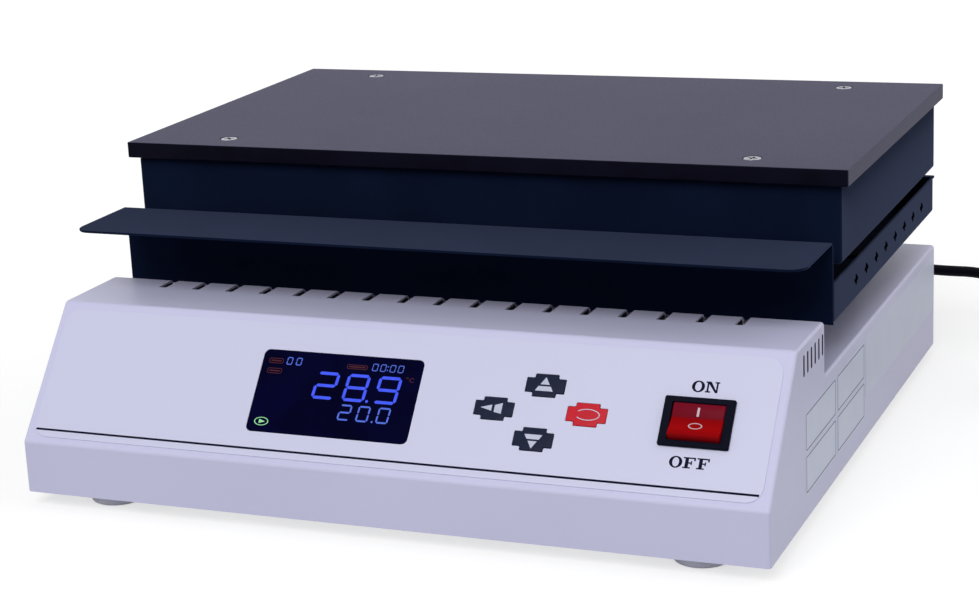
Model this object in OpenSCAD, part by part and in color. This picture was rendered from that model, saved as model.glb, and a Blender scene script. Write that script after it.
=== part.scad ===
// Graphite hot plate: a white case with a sloped control panel carries a dark
// sheet-metal heater housing, and a graphite plate lies on top of that.
// Millimetres. X runs to the right, Y to the back and Z up. The origin lies on
// the surface that the hot plate stands on, under the middle of it.

/* [Case] */
// Width of the case
case_w = 391; // [375:1:410]
// Depth of the case
case_d = 362; // [352:1:385]
// Height of the upright skirt below the panel
skirt_h = 27; // [24:1:30]
// Depth from the skirt to the upper edge of the panel
panel_run = 50.5; // [49:0.5:54]
// Height of the ledge above the lower edge of the case
ledge_h = 87.5; // [86:0.5:94]
// Depth of the flat ledge behind the panel
ledge_d = 49; // [44:1:52]
// Height of the deck that carries the heater housing
deck_h = 60; // [58:1:66]
// Wall of the case
case_wall = 2.5; // [2:0.1:3]
// Rounding of the long edges of the case
case_edge_r = 3; // [1:0.5:4]

/* [Vents] */
// Slots cut in the rear edge of the ledge
ledge_slots = 17; // [9:2:19]
// Distance from one ledge slot to the next
ledge_slot_pitch = 19.7; // [16:0.1:20]
// Width of a ledge slot
ledge_slot_w = 4.4; // [2:0.2:5]
// Length of a ledge slot, front to back
ledge_slot_run = 11; // [5:0.5:16]
// How far a ledge slot runs down the rear of the pod
ledge_slot_drop = 9; // [5:0.5:14]
// Upright slots on each side of the pod
side_slots = 6; // [3:1:7]
// Distance from one side slot to the next
side_slot_pitch = 7; // [5:0.5:7]
// Width of a side slot
side_slot_w = 2.6; // [1.5:0.1:3]
// Height of a side slot
side_slot_h = 10.5; // [6:0.5:12]
// Cross-shaped vents on each side of the tray
cross_vents = 8; // [4:1:9]
// Distance from one cross-shaped vent to the next
cross_pitch = 22.6; // [16:0.1:24]
// Size of a cross-shaped vent
cross_size = 6.6; // [5:0.2:9]
// Width of an arm of a cross-shaped vent
cross_arm = 2.7; // [1.4:0.1:3]

/* [Feet] */
// Diameter of a foot
foot_d = 30; // [20:0.5:32]
// Height of a foot
foot_h = 8; // [7:0.5:12]
// Distance from the side of the case to the middle of a foot
foot_in = 39; // [34:1:60]
// Distance from the front or back of the case to the middle of a foot
foot_back = 24; // [20:1:34]

/* [Heater housing] */
// Width of the graphite plate
plate_w = 400; // [392:1:412]
// Depth of the graphite plate
plate_d = 230; // [224:1:234]
// Thickness of the graphite plate
plate_t = 8.5; // [7:0.5:14]
// Overhang of the plate at each side of the shroud
plate_lip_side = 4.5; // [2:0.5:8]
// Overhang of the plate at the front
plate_lip_front = 4; // [2:0.5:7]
// Overhang of the plate at the back
plate_lip_rear = 2; // [1:0.5:4]
// Thickness of the sheet metal
sheet_t = 1.2; // [1:0.1:1.6]
// Height of the posts between the deck and the tray
post_h = 20.5; // [17:0.5:26]
// Height of the tray
tray_h = 20.5; // [17:0.5:26]
// Open gap between the tray and the shroud
heat_gap = 5; // [3:0.5:8]
// Height of the shroud
shroud_h = 40; // [39:1:50]
// Distance from the pod to the wall of the front shield
shield_gap = 18.5; // [16:0.5:19]
// Height of the wall of the front shield
shield_h = 41.5; // [36:0.5:44]
// How far the lip of the front shield reaches forward
lip_run = 54; // [40:1:60]
// Rounding of the front corners of the lip
lip_r = 9; // [3:0.5:14]
// Distance from the side of the plate to its screws
plate_screw_in = 53; // [44:1:70]
// Distance from the front or back edge of the plate to its screws
plate_screw_edge = 19; // [17:0.5:20]

/* [Panel] */
// Width of the front overlay
overlay_w = 382; // [360:1:384]
// Height of the front overlay
overlay_h = 71; // [66:0.5:72]
// Rounding of the corners of the overlay
overlay_r = 8; // [3:0.5:12]
// Thickness of the overlay
overlay_t = 0.5; // [0.3:0.1:0.8]
// Width of the display window
window_w = 86.5; // [80:0.5:94]
// Height of the display window
window_h = 43.5; // [36:0.5:45]
// Rounding of the corners of the display window
window_r = 3; // [1:0.5:5]
// Width of a key
key_w = 20; // [18:0.2:21]
// Height of a key
key_h = 12; // [10.4:0.2:12.2]
// Width of the upright bar of a key
key_bar_w = 11.4; // [9:0.2:13]
// Height of the level bar of a key
key_bar_h = 7.6; // [6.6:0.2:8.2]
// Travel of a key
key_travel = 0.5; // [0.3:0.05:0.6]
// Width of the frame of the power switch
switch_w = 34; // [32:0.5:36]
// Height of the frame of the power switch
switch_h = 24.6; // [23.6:0.2:27]
// Width of the rocker
rocker_w = 25; // [20:0.5:26]
// Angle that the rocker leans to each side of the middle
rocker_lean = 10; // [6:0.5:12]

/* [Mains lead] */
// Diameter of the mains lead
cord_d = 6.5; // [6:0.1:6.8]

/* [Hidden] */
$fn = 48;

// Overrun of a cut past the face that it opens
cut = 0.5;
// Clearance between a piece and the opening that it sits in
fit = 0.2;
// Clearance between a piece and the opening that it moves in
run = 0.3;
// Clearance round the shank of a screw or pin in its bore
pin_fit = 0.05;
// Clearance below what lies loose on the surface
lie = 0.05;

// Places of the case, measured from its front lower edge
pod_y = panel_run + ledge_d;
panel_a = atan2(ledge_h - skirt_h, panel_run);
panel_len = norm([panel_run, ledge_h - skirt_h]);
case_outline = [[0, 0], [0, skirt_h], [panel_run, ledge_h], [pod_y, ledge_h],
                [pod_y, deck_h], [case_d, deck_h], [case_d, 0]];
side_slot_edge = 2.5;
side_slot_top = 5.5;

// Places of the heater housing
tray_z = deck_h + post_h;
shield_y = pod_y + shield_gap;
tray_w = plate_w - 2 * plate_lip_side;
tray_y = shield_y + sheet_t;
plate_set = 14;
plate_y = shield_y + plate_set;
tray_rear_in = 4.5;
tray_back = plate_y + plate_d - tray_rear_in;
shared_w = min(case_w, tray_w);
tray_lip = 4;
cross_first = 48.5;
cross_y = shield_y + cross_first;
shroud_z = tray_z + tray_h + heat_gap;
plate_z = shroud_z + shroud_h;
shroud_y = plate_y + plate_lip_front;
shroud_d = plate_d - plate_lip_front - plate_lip_rear;
shroud_flange = 24;
shroud_foot = 8;

// Base: a pressed steel plate held by screws in tabs of the case
base_t = 1.5;
base_tab = 14;
base_tab_h = 8;
base_screw_r = 1.5;
base_screw_len = 7;
base_slot_w = 4;
base_slot_len = 60;
base_slot_n = 8;
base_slot_pitch = 12;
base_slot_x = -60;
base_slot_y = 120;

// Screws: a thread radius, a pan head and a recess for a cross driver
m4_r = 2;
m4_head_r = 4;
m4_head_h = 2.4;
m4_nut_h = 3.2;
m4_nut_r = 4;
m3_head_r = 2.9;
m3_head_h = 1.8;
recess_w_share = 0.26;
recess_len_share = 1.2;
recess_depth_share = 0.6;

// Foot: a grommet of grey rubber with a sunk screw
foot_taper = 1;
foot_edge_r = 1.5;
foot_sink = 4;
foot_sink_r = 4.8;

// Panel: places measured across from the middle and up the slope
overlay_margin = 3.5;
overlay_v = overlay_margin + overlay_h / 2;
overlay_side = 4.5;
overlay_half = min(overlay_w / 2, case_w / 2 - overlay_side);
switch_in = 36.2;
switch_u = overlay_half - switch_in;
switch_v = 39.4;
key_in = 76.8;
key_u = switch_u - key_in;
key_v = 38.8;
window_in = 107.2;
window_u = key_u - window_in;
window_v = 38.3;
key_du = 23.3;
key_dv = 13.7;
key_places = [[key_u, key_v + key_dv], [key_u - key_du, key_v],
              [key_u, key_v - key_dv], [key_u + key_du, key_v]];

// Display and control board behind the panel
board_n = 10.5;
board_t = 1.6;
board_in = 60.8;
board_u = window_u - board_in;
board_w = 208;
board_v = 9;
board_h = 62;
board_post_r = 3.2;
board_post_in = 5;
board_screw_len = 7;
lcd_rim = 4;
chip_w = 16;
chip_t = 2.2;
tact_w = 6;
tact_h = 4.2;
tact_button_r = 1.7;
tact_button_h = 0.5;
key_proud = 0.3;
key_flange = 0.6;
key_flange_t = 1;
key_flange_gap = 0.1;
key_stem_r = 2.2;
key_rest_gap = 0.05;

// Power switch: frame, well and rocker, measured from the panel
switch_frame_t = 1.9;
switch_box_w = 30;
switch_box_h = 22.4;
switch_box_depth = 20;
rocker_r = 9.8;
rocker_n = -1.8;
rocker_dip = 3.6;
rocker_skirt = 3;
pin_r = 1.5;
pin_len = 1.5;
tab_w = 6.3;
tab_t = 0.8;
tab_len = 8;
tab_du = 7;
tab_dv = 5;

// Posts and the conduit between the deck and the tray
post_r = 6;
post_in = 45.5;
post_x = shared_w / 2 - post_in;
post_behind = 58;
post_front = shield_y + post_behind;
post_ahead = 42;
post_rear = min(case_d, plate_y + plate_d) - post_ahead;
post_screw_len = 8;
conduit_in = 27.5;
conduit_x = shared_w / 2 - conduit_in;
conduit_behind = 130;
conduit_y = shield_y + conduit_behind;
conduit_r = 8;
conduit_wall = 1.5;
conduit_rim = 2.5;
conduit_rim_t = 1.5;

// Pillars that carry the plate, and its countersunk screws
pillar_r = 5;
pillar_bore_len = 26;
plate_screw_r = 2.45;
plate_head_r = 4.9;
plate_head_h = 2.7;
plate_screw_len = 24;

// Heater: a cast plate with two bent tubes below it, and its insulation
heater_side = 1.5;
heater_w = shared_w - 2 * (shroud_flange + heater_side);
heater_t = 10;
heater_gap_y = 2;
tube_r = 4.2;
tube_fit = 0.1;
tube_in = 25;
tube_leg = heater_w / 2 - tube_in;
tube_bend = 20;
tube_tail = 12;
tube_pin_r = 1.2;
tube_pin_len = 6;
clamp_t = 1;
insul_side = 10;
insul_w = heater_w - 2 * insul_side;
probe_r = 2;
probe_len = 60;
pan_t = 1;
pillar_gap = 0.6;
heater_y = shroud_y + shroud_flange + heater_gap_y;
heater_d = shroud_d - 2 * (shroud_flange + heater_gap_y);
tube_z = plate_z - heater_t;
clamp_z = tube_z - tube_r - clamp_t;
tube_rows = [heater_y + heater_d / 4, heater_y + heater_d * 3 / 4];

// Electrics on the base plate
block_w = 16;
block_d = 56;
block_h = 18;
sink_share = 0.22;
sink_x = case_w * sink_share;
sink_back = 45;
sink_y = case_d / 2 + sink_back;
sink_w = 70;
sink_d = 90;
sink_h = 25;
sink_foot = 5;
sink_fins = 9;
sink_fin_t = 2;
relay_w = 44;
relay_d = 58;
relay_h = 22;
board2_share = -0.27;
board2_x = case_w * board2_share;
board2_back = 54;
board2_y = case_d / 2 + board2_back;
board2_w = 110;
board2_d = 90;
board2_leg = 6;
board2_leg_r = 3;
board2_leg_in = 6;
cap_r = 9;
cap_h = 26;
coil_share = -0.0125;
coil_x = case_w * coil_share;
coil_back = 54;
coil_y = case_d / 2 + coil_back;
core_w = 46;
core_d = 32;
core_h = 38;
bobbin_w = 30;
bobbin_d = 44;
bobbin_h = 26;
lead_r = 1.3;
lead_dx = 2.2;
lead_side = 10;
lead_rise = 8;

// Fuse holder in the rear wall
fuse_x = 95;
fuse_z = 34;
fuse_r = 6.2;
fuse_flange_r = 9;
fuse_flange_t = 2.5;
fuse_depth = 30;
fuse_bore_r = 4.4;
fuse_cap_r = 7;
fuse_cap_h = 7;
fuse_plug_r = 4.2;
fuse_plug_len = 6;
fuse_slot_w = 1.4;
fuse_slot_depth = 1.6;
fuse_link_r = 2.5;
fuse_link_len = 20;
fuse_proud = fuse_flange_t + fuse_cap_h;

// Strain relief of the mains lead in the rear wall
relief_x = 150;
relief_z = 32;
relief_r = 7;
relief_rim_r = 9;
relief_rim_t = 3;
relief_end_r = 4.4;
relief_len = 30;
relief_in = 8;

// Tie round the coil
tie_w = 12;
tie_t = 0.8;
tie_gap = 0.15;
tie_angle = 225;

// Mains lead. The route starts at the strain relief, hangs to the surface
// and runs into a round coil; a short tail joins the coil and the plug.
cord_r = cord_d / 2;
cord_sides = 8;
coil_sides = 6;
coil_rings = 24;
coil_turns = 5.25;
coil_out_r = 46;
coil_pitch = 7.2;
coil_layer = 7.1;
coil_mid = [290, 130];
coil_angle = 45;
coil_floor = cord_r + tie_gap + tie_t + lie;
coil_climb = 0.5;
relief_end = [relief_x, case_d + relief_len, relief_z];
cord_exit = relief_end + [0, -(case_d + fuse_proud) / 2, foot_h];
lead_points = [
    [150, 213, 40], [152, 223, 40], [158, 233, 39.5], [167, 239, 39],
    [178, 242, 38], [192, 242, 36.5], [206, 241, 35], [220, 238, 32],
    [234, 233, 27], [247, 226, 21], [260, 217, 15], [272, 208, 10],
    [284, 198, 6.5], [296, 187, 4.8], [307, 177, 4.3]
];
tail_points = [[311, 85, 11.4], [305, 76, 11.2], [301, 66, 11], [299, 56, 11]];
plug_at = [299, 48, 11];

// Plug: a moulded body with two flat blades and a round pin
plug_w = 27;
plug_t = 20;
plug_len = 32;
plug_neck_len = 12;
plug_neck_r = 5.6;
plug_edge_r = 4;
blade_w = 6.3;
blade_t = 1.5;
blade_len = 17;
blade_dx = 6.35;
earth_r = 2.4;
earth_len = 20;
earth_dz = 5;
blade_dz = -3.5;

// Vector helpers
function unit(v) = v / norm(v);
function right_of(v) = [v.y, -v.x];

// A closed outline moved inward by t, its points listed clockwise
function inset(p, t) = [
    for (i = [0 : len(p) - 1])
        let (a = p[(i + len(p) - 1) % len(p)], b = p[i],
             c = p[(i + 1) % len(p)],
             n1 = right_of(unit(b - a)), n2 = right_of(unit(c - b)))
            b + (n1 + n2) * t / (1 + n1 * n2)
];

// A closed outline whose corners are arcs, with a radius for each corner
function rounded(p, radii, steps = 6) = [
    for (i = [0 : len(p) - 1])
        let (a = p[(i + len(p) - 1) % len(p)], b = p[i],
             c = p[(i + 1) % len(p)], r = radii[i])
            if (r == 0) b
            else
                let (u = unit(a - b), w = unit(c - b), ang = acos(u * w),
                     mid = b + unit(u + w) * r / sin(ang / 2),
                     from = b + u * r / tan(ang / 2) - mid,
                     to = b + w * r / tan(ang / 2) - mid, turn = 180 - ang)
                    for (k = [0 : steps])
                        mid + (from * sin(turn * (1 - k / steps))
                               + to * sin(turn * k / steps)) / sin(turn)
];

// A tube swept along points, with flat ends
function ring_at(p, i) =
    let (t = unit(p[min(i + 1, len(p) - 1)] - p[max(i - 1, 0)]),
         side = unit(cross(t, [0, 0, 1])), up = cross(side, t))
        [side, up];
module tube(p, r, sides) {
    rings = [for (i = [0 : len(p) - 1]) let (f = ring_at(p, i))
                 for (k = [0 : sides - 1])
                     p[i] + r * (f[0] * sin(360 * k / sides)
                                 - f[1] * cos(360 * k / sides))];
    last = (len(p) - 1) * sides;
    polyhedron(rings, concat(
        [for (k = [1 : sides - 2]) [0, k, k + 1]],
        [for (k = [1 : sides - 2]) [last, last + k + 1, last + k]],
        [for (i = [0 : len(p) - 2], k = [0 : sides - 1], half = [0, 1])
             let (a = i * sides + k, b = i * sides + (k + 1) % sides)
                 half == 0 ? [a, a + sides, b] : [b, a + sides, b + sides]]
    ));
}

// Places on the slope: across, up the slope, and out of it
function panel_point(u, v, n) =
    [u, v * cos(panel_a) - n * sin(panel_a),
     skirt_h + v * sin(panel_a) + n * cos(panel_a)];
module on_panel(u = 0, v = 0, n = 0)
    translate([0, 0, skirt_h]) rotate([panel_a, 0, 0]) translate([u, v, n])
        children();

// From the front lower edge of the case to the origin on the surface
module stand()
    translate([0, -(case_d + fuse_proud) / 2, foot_h]) children();

module along_x(w) rotate([90, 0, 90]) linear_extrude(w, center = true)
    children();
module box(size) translate([-size.x / 2, -size.y / 2, 0]) cube(size);
module rod(r, h, z = 0) translate([0, 0, z]) cylinder(r = r, h = h);

// A flat plate with round corners, standing on its lower face
module round_plate(w, h, t, r) {
    box([w - 2 * r, h, t]);
    box([w, h - 2 * r, t]);
    for (sx = [-1, 1], sy = [-1, 1])
        translate([sx * (w / 2 - r), sy * (h / 2 - r), 0])
            cylinder(r = r, h = t);
}

// A cross of two bars, standing on its lower face
module cross_plate(w, h, bar_w, bar_h, t) {
    box([w, bar_h, t]);
    box([bar_w, h, t]);
}

// A screw that points down from the underside of its head at zero
module pan_screw(r, len, head_r, head_h) {
    rod(r, len + cut, -len);
    difference() {
        rod(head_r, head_h);
        driver_recess(head_r, head_h);
    }
}
module driver_recess(head_r, head_h)
    for (a = [0, 90])
        translate([0, 0, head_h - head_h * recess_depth_share])
            rotate(a) box([head_r * recess_len_share,
                           head_r * recess_w_share, head_h]);

// A straight insulated wire with round joints, through its points
module wire(p, r) {
    for (i = [0 : len(p) - 2]) {
        d = p[i + 1] - p[i];
        translate(p[i]) rotate([0, acos(d.z / norm(d)), atan2(d.y, d.x)])
            cylinder(r = r, h = norm(d));
    }
    for (q = p) translate(q) sphere(r = r);
}

module at_feet(i = [0 : 3]) {
    spots = [[-1, 0], [1, 0], [-1, 1], [1, 1]];
    for (k = i) translate([spots[k].x * (case_w / 2 - foot_in),
                           spots[k].y == 0 ? foot_back : case_d - foot_back,
                           0]) children();
}
module at_posts(i = [0 : 3]) {
    spots = [[-1, 0], [1, 0], [-1, 1], [1, 1]];
    for (k = i) translate([spots[k].x * post_x,
                           spots[k].y == 0 ? post_front : post_rear, 0])
        children();
}
module at_plate_screws()
    for (sx = [-1, 1], y = [plate_y + plate_screw_edge,
                            plate_y + plate_d - plate_screw_edge])
        translate([sx * (plate_w / 2 - plate_screw_in), y, 0]) children();
module at_base_tabs()
    for (sx = [-1, 1], y = [case_wall + base_tab / 2, case_d / 2,
                            case_d - case_wall - base_tab / 2])
        translate([sx * (case_w / 2 - case_wall - base_tab / 2), y, 0])
            children();
module at_board_posts()
    for (u = [board_u + board_post_in, board_u + board_w - board_post_in],
         v = [board_v + board_post_in, board_v + board_h - board_post_in])
        on_panel(u, v) children();

// White case: one folded and painted shell, open below
module case_cover() {
    radii = [0, case_edge_r, case_edge_r, case_edge_r, case_edge_r,
             case_edge_r, 0];
    color("#dfdfee") stand() difference() {
        union() {
            difference() {
                along_x(case_w) polygon(rounded(case_outline, radii));
                along_x(case_w - 2 * case_wall)
                    polygon(inset(case_outline, case_wall));
                translate([0, case_d / 2, -cut])
                    box([case_w - 2 * case_wall, case_d - 2 * case_wall,
                         case_wall + 2 * cut]);
            }
            at_base_tabs() translate([0, 0, base_t])
                box([base_tab + cut, base_tab + cut, base_tab_h]);
        }
        at_base_tabs() rod(base_screw_r + pin_fit, base_screw_len + cut, -cut);
        case_vents();
        panel_openings();
        deck_openings();
        rear_openings();
    }
}
module case_vents() {
    for (i = [0 : ledge_slots - 1])
        translate([(i - (ledge_slots - 1) / 2) * ledge_slot_pitch,
                   pod_y - ledge_slot_run / 2 + cut / 2,
                   ledge_h - ledge_slot_drop])
            box([ledge_slot_w, ledge_slot_run + cut,
                 ledge_slot_drop + cut]);
    for (sx = [-1, 1], i = [0 : side_slots - 1])
        translate([sx * case_w / 2, pod_y - side_slot_edge
                   - i * side_slot_pitch, ledge_h - side_slot_top
                   - side_slot_h])
            box([2 * case_wall + cut, side_slot_w, side_slot_h]);
}
module panel_openings() {
    deep = case_wall + cut;
    tall = deep + overlay_t + cut;
    on_panel(window_u, window_v, -deep)
        round_plate(window_w + 2 * fit, window_h + 2 * fit, tall,
                    window_r);
    for (k = key_places)
        on_panel(k.x, k.y, -deep)
            cross_plate(key_w + 2 * run, key_h + 2 * run,
                        key_bar_w + 2 * run, key_bar_h + 2 * run,
                        tall);
    on_panel(switch_u, switch_v, -deep)
        box([switch_box_w + 2 * fit, switch_box_h + 2 * fit, tall]);
}
module deck_openings() {
    at_posts() rod(m4_r + fit, case_wall + 2 * cut,
                   deck_h - case_wall - cut);
    translate([conduit_x, conduit_y, 0])
        rod(conduit_r + fit, case_wall + 2 * cut, deck_h - case_wall - cut);
}
module rear_openings() {
    for (p = [[fuse_x, fuse_z, fuse_r], [relief_x, relief_z, relief_r]])
        translate([p.x, case_d + cut, p.y]) rotate([90, 0, 0])
            cylinder(r = p.z + fit, h = case_wall + 2 * cut);
}

// Base: a plain steel plate inside the walls, with slots that let air in
module base_plate() {
    color("#b9bcc2") stand() difference() {
        translate([0, case_d / 2, 0])
            box([case_w - 2 * case_wall - 2 * fit,
                 case_d - 2 * case_wall - 2 * fit, base_t]);
        at_base_tabs() rod(base_screw_r + fit, base_t + 2 * cut, -cut);
        at_feet() rod(m4_r + fit, base_t + 2 * cut, -cut);
        for (i = [0 : base_slot_n - 1])
            translate([base_slot_x + i * base_slot_pitch, base_slot_y, -cut])
                box([base_slot_w, base_slot_len, base_t + 2 * cut]);
    }
}
module base_screws()
    color("silver") stand() at_base_tabs() mirror([0, 0, 1])
        pan_screw(base_screw_r, base_screw_len, m3_head_r, m3_head_h);

// Feet: rubber, each with a sunk screw and a nut inside the case
module foot(i) {
    w = foot_d / 2;
    color("#d5d6d8") stand() at_feet([i]) difference() {
        rotate_extrude()
            polygon(rounded([[0, 0], [w, 0], [w - foot_taper, -foot_h],
                             [0, -foot_h]], [0, 0, foot_edge_r, 0]));
        rod(m4_r + fit, foot_h + 2 * cut, -foot_h - cut);
        rod(foot_sink_r, foot_sink + cut, -foot_h - cut);
    }
}
module foot_screws()
    color("silver") stand() at_feet() mirror([0, 0, 1])
        translate([0, 0, foot_h - foot_sink])
            pan_screw(m4_r, foot_h - foot_sink + base_t + m4_nut_h + cut,
                      m4_head_r, m4_head_h);
module foot_nuts()
    color("silver") stand() at_feet() difference() {
        translate([0, 0, base_t]) cylinder(r = m4_nut_r, h = m4_nut_h,
                                           $fn = 6);
        rod(m4_r + pin_fit, m4_nut_h + 2 * cut, base_t - cut);
    }

// Overlay: a printed sheet stuck on the slope, open at window, keys, switch
module front_overlay() {
    color("#e6e6f4") stand() difference() {
        on_panel(0, overlay_v) round_plate(overlay_w, overlay_h, overlay_t,
                                           overlay_r);
        panel_openings();
    }
}
module display_window()
    color("#101838") stand() on_panel(window_u, window_v, -case_wall)
        round_plate(window_w, window_h, case_wall + overlay_t, window_r);
module lcd_module()
    color("#303338") stand() on_panel(window_u, window_v, -board_n)
        box([window_w + 2 * lcd_rim, window_h + 2 * lcd_rim,
             board_n - case_wall]);

// Control board: parallel to the panel, on four posts
module control_board() {
    color("darkgreen") stand() difference() {
        union() {
            on_panel(board_u + board_w / 2, board_v + board_h / 2,
                     -board_n - board_t) box([board_w, board_h, board_t]);
            for (du = [-1, 0, 1])
                on_panel(key_u + du * 2 * chip_w, key_v,
                         -board_n - board_t - chip_t)
                    box([chip_w, chip_w, chip_t + cut]);
        }
        at_board_posts() rod(base_screw_r + fit, board_n + 2 * board_t,
                             -board_n - 2 * board_t);
    }
}
module board_posts()
    color("#c9a24a") stand() at_board_posts() difference() {
        rod(board_post_r, board_n - case_wall, -board_n);
        rod(base_screw_r + pin_fit, board_screw_len, -board_n - cut);
    }
module board_screws()
    color("silver") stand() at_board_posts()
        translate([0, 0, -board_n - board_t]) mirror([0, 0, 1])
            pan_screw(base_screw_r, board_screw_len, m3_head_r, m3_head_h);
module key_switches()
    color("#404348") stand() for (k = key_places) on_panel(k.x, k.y) {
        translate([0, 0, -board_n]) box([tact_w, tact_w, tact_h]);
        rod(tact_button_r, tact_button_h + cut, -board_n + tact_h - cut);
    }

// Keys: a cross-shaped cap, a flange behind the panel and a stem
module key(i, tone) {
    stem_n = -board_n + tact_h + tact_button_h + key_travel + key_rest_gap;
    flange_n = -case_wall - key_flange_gap - key_flange_t;
    color(tone) stand() on_panel(key_places[i].x, key_places[i].y) {
        translate([0, 0, flange_n])
            cross_plate(key_w, key_h, key_bar_w, key_bar_h,
                        overlay_t + key_proud - flange_n);
        translate([0, 0, flange_n])
            cross_plate(key_w + 4 * key_flange, key_h + 3 * key_flange,
                        key_bar_w + 2 * key_flange,
                        key_bar_h + 2 * key_flange, key_flange_t);
        rod(key_stem_r, flange_n - stem_n + cut, stem_n);
    }
}
module key_up() key(0, "#1b2138");
module key_left() key(1, "#1b2138");
module key_down() key(2, "#1b2138");
module key_set() key(3, "#c8202c");

// Power switch: the frame and box, with a round well for the rocker
module switch_body() {
    color("#15171c") stand() on_panel(switch_u, switch_v) difference() {
        union() {
            translate([0, 0, overlay_t]) box([switch_w, switch_h,
                                              switch_frame_t]);
            translate([0, 0, -switch_box_depth])
                box([switch_box_w, switch_box_h,
                     switch_box_depth + overlay_t + cut]);
        }
        translate([0, 0, rocker_n]) rotate([0, 90, 0]) {
            cylinder(r = rocker_r + run, h = rocker_w + 2 * run,
                     center = true);
            cylinder(r = pin_r + pin_fit,
                     h = rocker_w + 2 * run + 2 * (pin_len + pin_fit),
                     center = true);
        }
    }
}
// Rocker: a shallow V on top, pressed in at its upper end when it is on
module rocker() {
    edge = rocker_dip + rocker_r * tan(rocker_lean);
    color("#c01820") stand() on_panel(switch_u, switch_v, rocker_n)
        rotate([-rocker_lean, 0, 0]) {
            intersection() {
                rotate([0, 90, 0]) cylinder(r = rocker_r, h = rocker_w,
                                            center = true);
                along_x(rocker_w)
                    polygon([[-rocker_r, -rocker_skirt], [-rocker_r, edge],
                             [0, rocker_dip], [rocker_r, edge],
                             [rocker_r, -rocker_skirt]]);
            }
            rotate([0, 90, 0])
                cylinder(r = pin_r, h = rocker_w + 2 * run + 2 * pin_len,
                         center = true);
        }
}
module switch_tabs()
    color("#c9b37a") stand() for (su = [-1, 1], sv = [-1, 1])
        on_panel(switch_u + su * tab_du, switch_v + sv * tab_dv,
                 -switch_box_depth - tab_len)
            box([tab_w, tab_t, tab_len]);

// Posts between the deck and the tray, with a screw at each end
module deck_post(i)
    color("#c9ccd2") stand() at_posts([i]) difference() {
        rod(post_r, post_h, deck_h);
        rod(m4_r + pin_fit, post_h + 2 * cut, deck_h - cut);
    }
module deck_screws()
    color("silver") stand() at_posts() translate([0, 0, deck_h - case_wall])
        mirror([0, 0, 1])
            pan_screw(m4_r, post_screw_len, m4_head_r, m4_head_h);
module tray_screws()
    color("silver") stand() at_posts() translate([0, 0, tray_z + sheet_t])
        pan_screw(m4_r, post_screw_len, m4_head_r, m4_head_h);

// Tray: a dark sheet-metal pan, its sides pierced by cross-shaped vents
module lower_tray() {
    d = tray_back - tray_y;
    color("#2b2f3e") stand() difference() {
        union() {
            translate([0, tray_y + d / 2, tray_z]) difference() {
                box([tray_w, d, tray_h]);
                translate([0, 0, sheet_t])
                    box([tray_w - 2 * sheet_t, d - 2 * sheet_t, tray_h]);
            }
            translate([0, tray_back + tray_lip / 2 - cut / 2,
                       tray_z + tray_h - sheet_t])
                box([tray_w, tray_lip + cut, sheet_t]);
        }
        for (i = [0 : cross_vents - 1], a = [0, 90])
            translate([0, cross_y + i * cross_pitch, tray_z + tray_h / 2])
                rotate([a, 0, 0]) cube([tray_w + 2 * cut, cross_size,
                                        cross_arm], center = true);
        at_posts() rod(m4_r + fit, sheet_t + 2 * cut, tray_z - cut);
        at_plate_screws() rod(m4_r + fit, sheet_t + 2 * cut, tray_z - cut);
        translate([conduit_x, conduit_y, 0])
            rod(conduit_r + fit, sheet_t + 2 * cut, tray_z - cut);
    }
}

// Front shield: a sheet bent forward over the pod, welded to the tray
module front_shield() {
    top = tray_z + shield_h;
    color("#23273a") stand() {
        translate([0, shield_y + sheet_t / 2, tray_z])
            box([tray_w, sheet_t, shield_h]);
        difference() {
            translate([0, shield_y + sheet_t / 2, top - sheet_t])
                round_plate(tray_w, 2 * lip_run + sheet_t, sheet_t, lip_r);
            translate([0, shield_y + sheet_t + lip_run / 2 + cut,
                       top - sheet_t - cut])
                box([tray_w + 2 * cut, lip_run + 2 * cut,
                     sheet_t + 2 * cut]);
        }
    }
}

// Conduit: a flanged tube that takes the wires from the case to the tray
module wire_conduit()
    color("#8d939e") stand() translate([conduit_x, conduit_y, 0])
        difference() {
            union() {
                rod(conduit_r, tray_z + sheet_t + 2 * conduit_rim_t - deck_h
                    + case_wall, deck_h - case_wall - conduit_rim_t);
                rod(conduit_r + conduit_rim, conduit_rim_t,
                    deck_h - case_wall - conduit_rim_t);
                rod(conduit_r + conduit_rim, conduit_rim_t,
                    tray_z + sheet_t);
            }
            rod(conduit_r - conduit_wall, tray_z + tray_h, deck_h / 2);
        }

// Shroud: four walls with a flange inward under the plate and another below
module upper_shroud() {
    color("#262b3c") stand()
        translate([0, shroud_y + shroud_d / 2, shroud_z]) difference() {
            box([tray_w, shroud_d, shroud_h]);
            translate([0, 0, sheet_t])
                box([tray_w - 2 * sheet_t, shroud_d - 2 * sheet_t,
                     shroud_h - 2 * sheet_t]);
            translate([0, 0, -cut])
                box([tray_w - 2 * shroud_foot, shroud_d - 2 * shroud_foot,
                     2 * sheet_t]);
            translate([0, 0, shroud_h - 2 * sheet_t])
                box([tray_w - 2 * shroud_flange,
                     shroud_d - 2 * shroud_flange, 3 * sheet_t]);
            translate([0, -shroud_y - shroud_d / 2, 0]) at_plate_screws()
                rod(plate_screw_r + fit, 3 * sheet_t,
                    shroud_h - 2 * sheet_t);
        }
}

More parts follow.
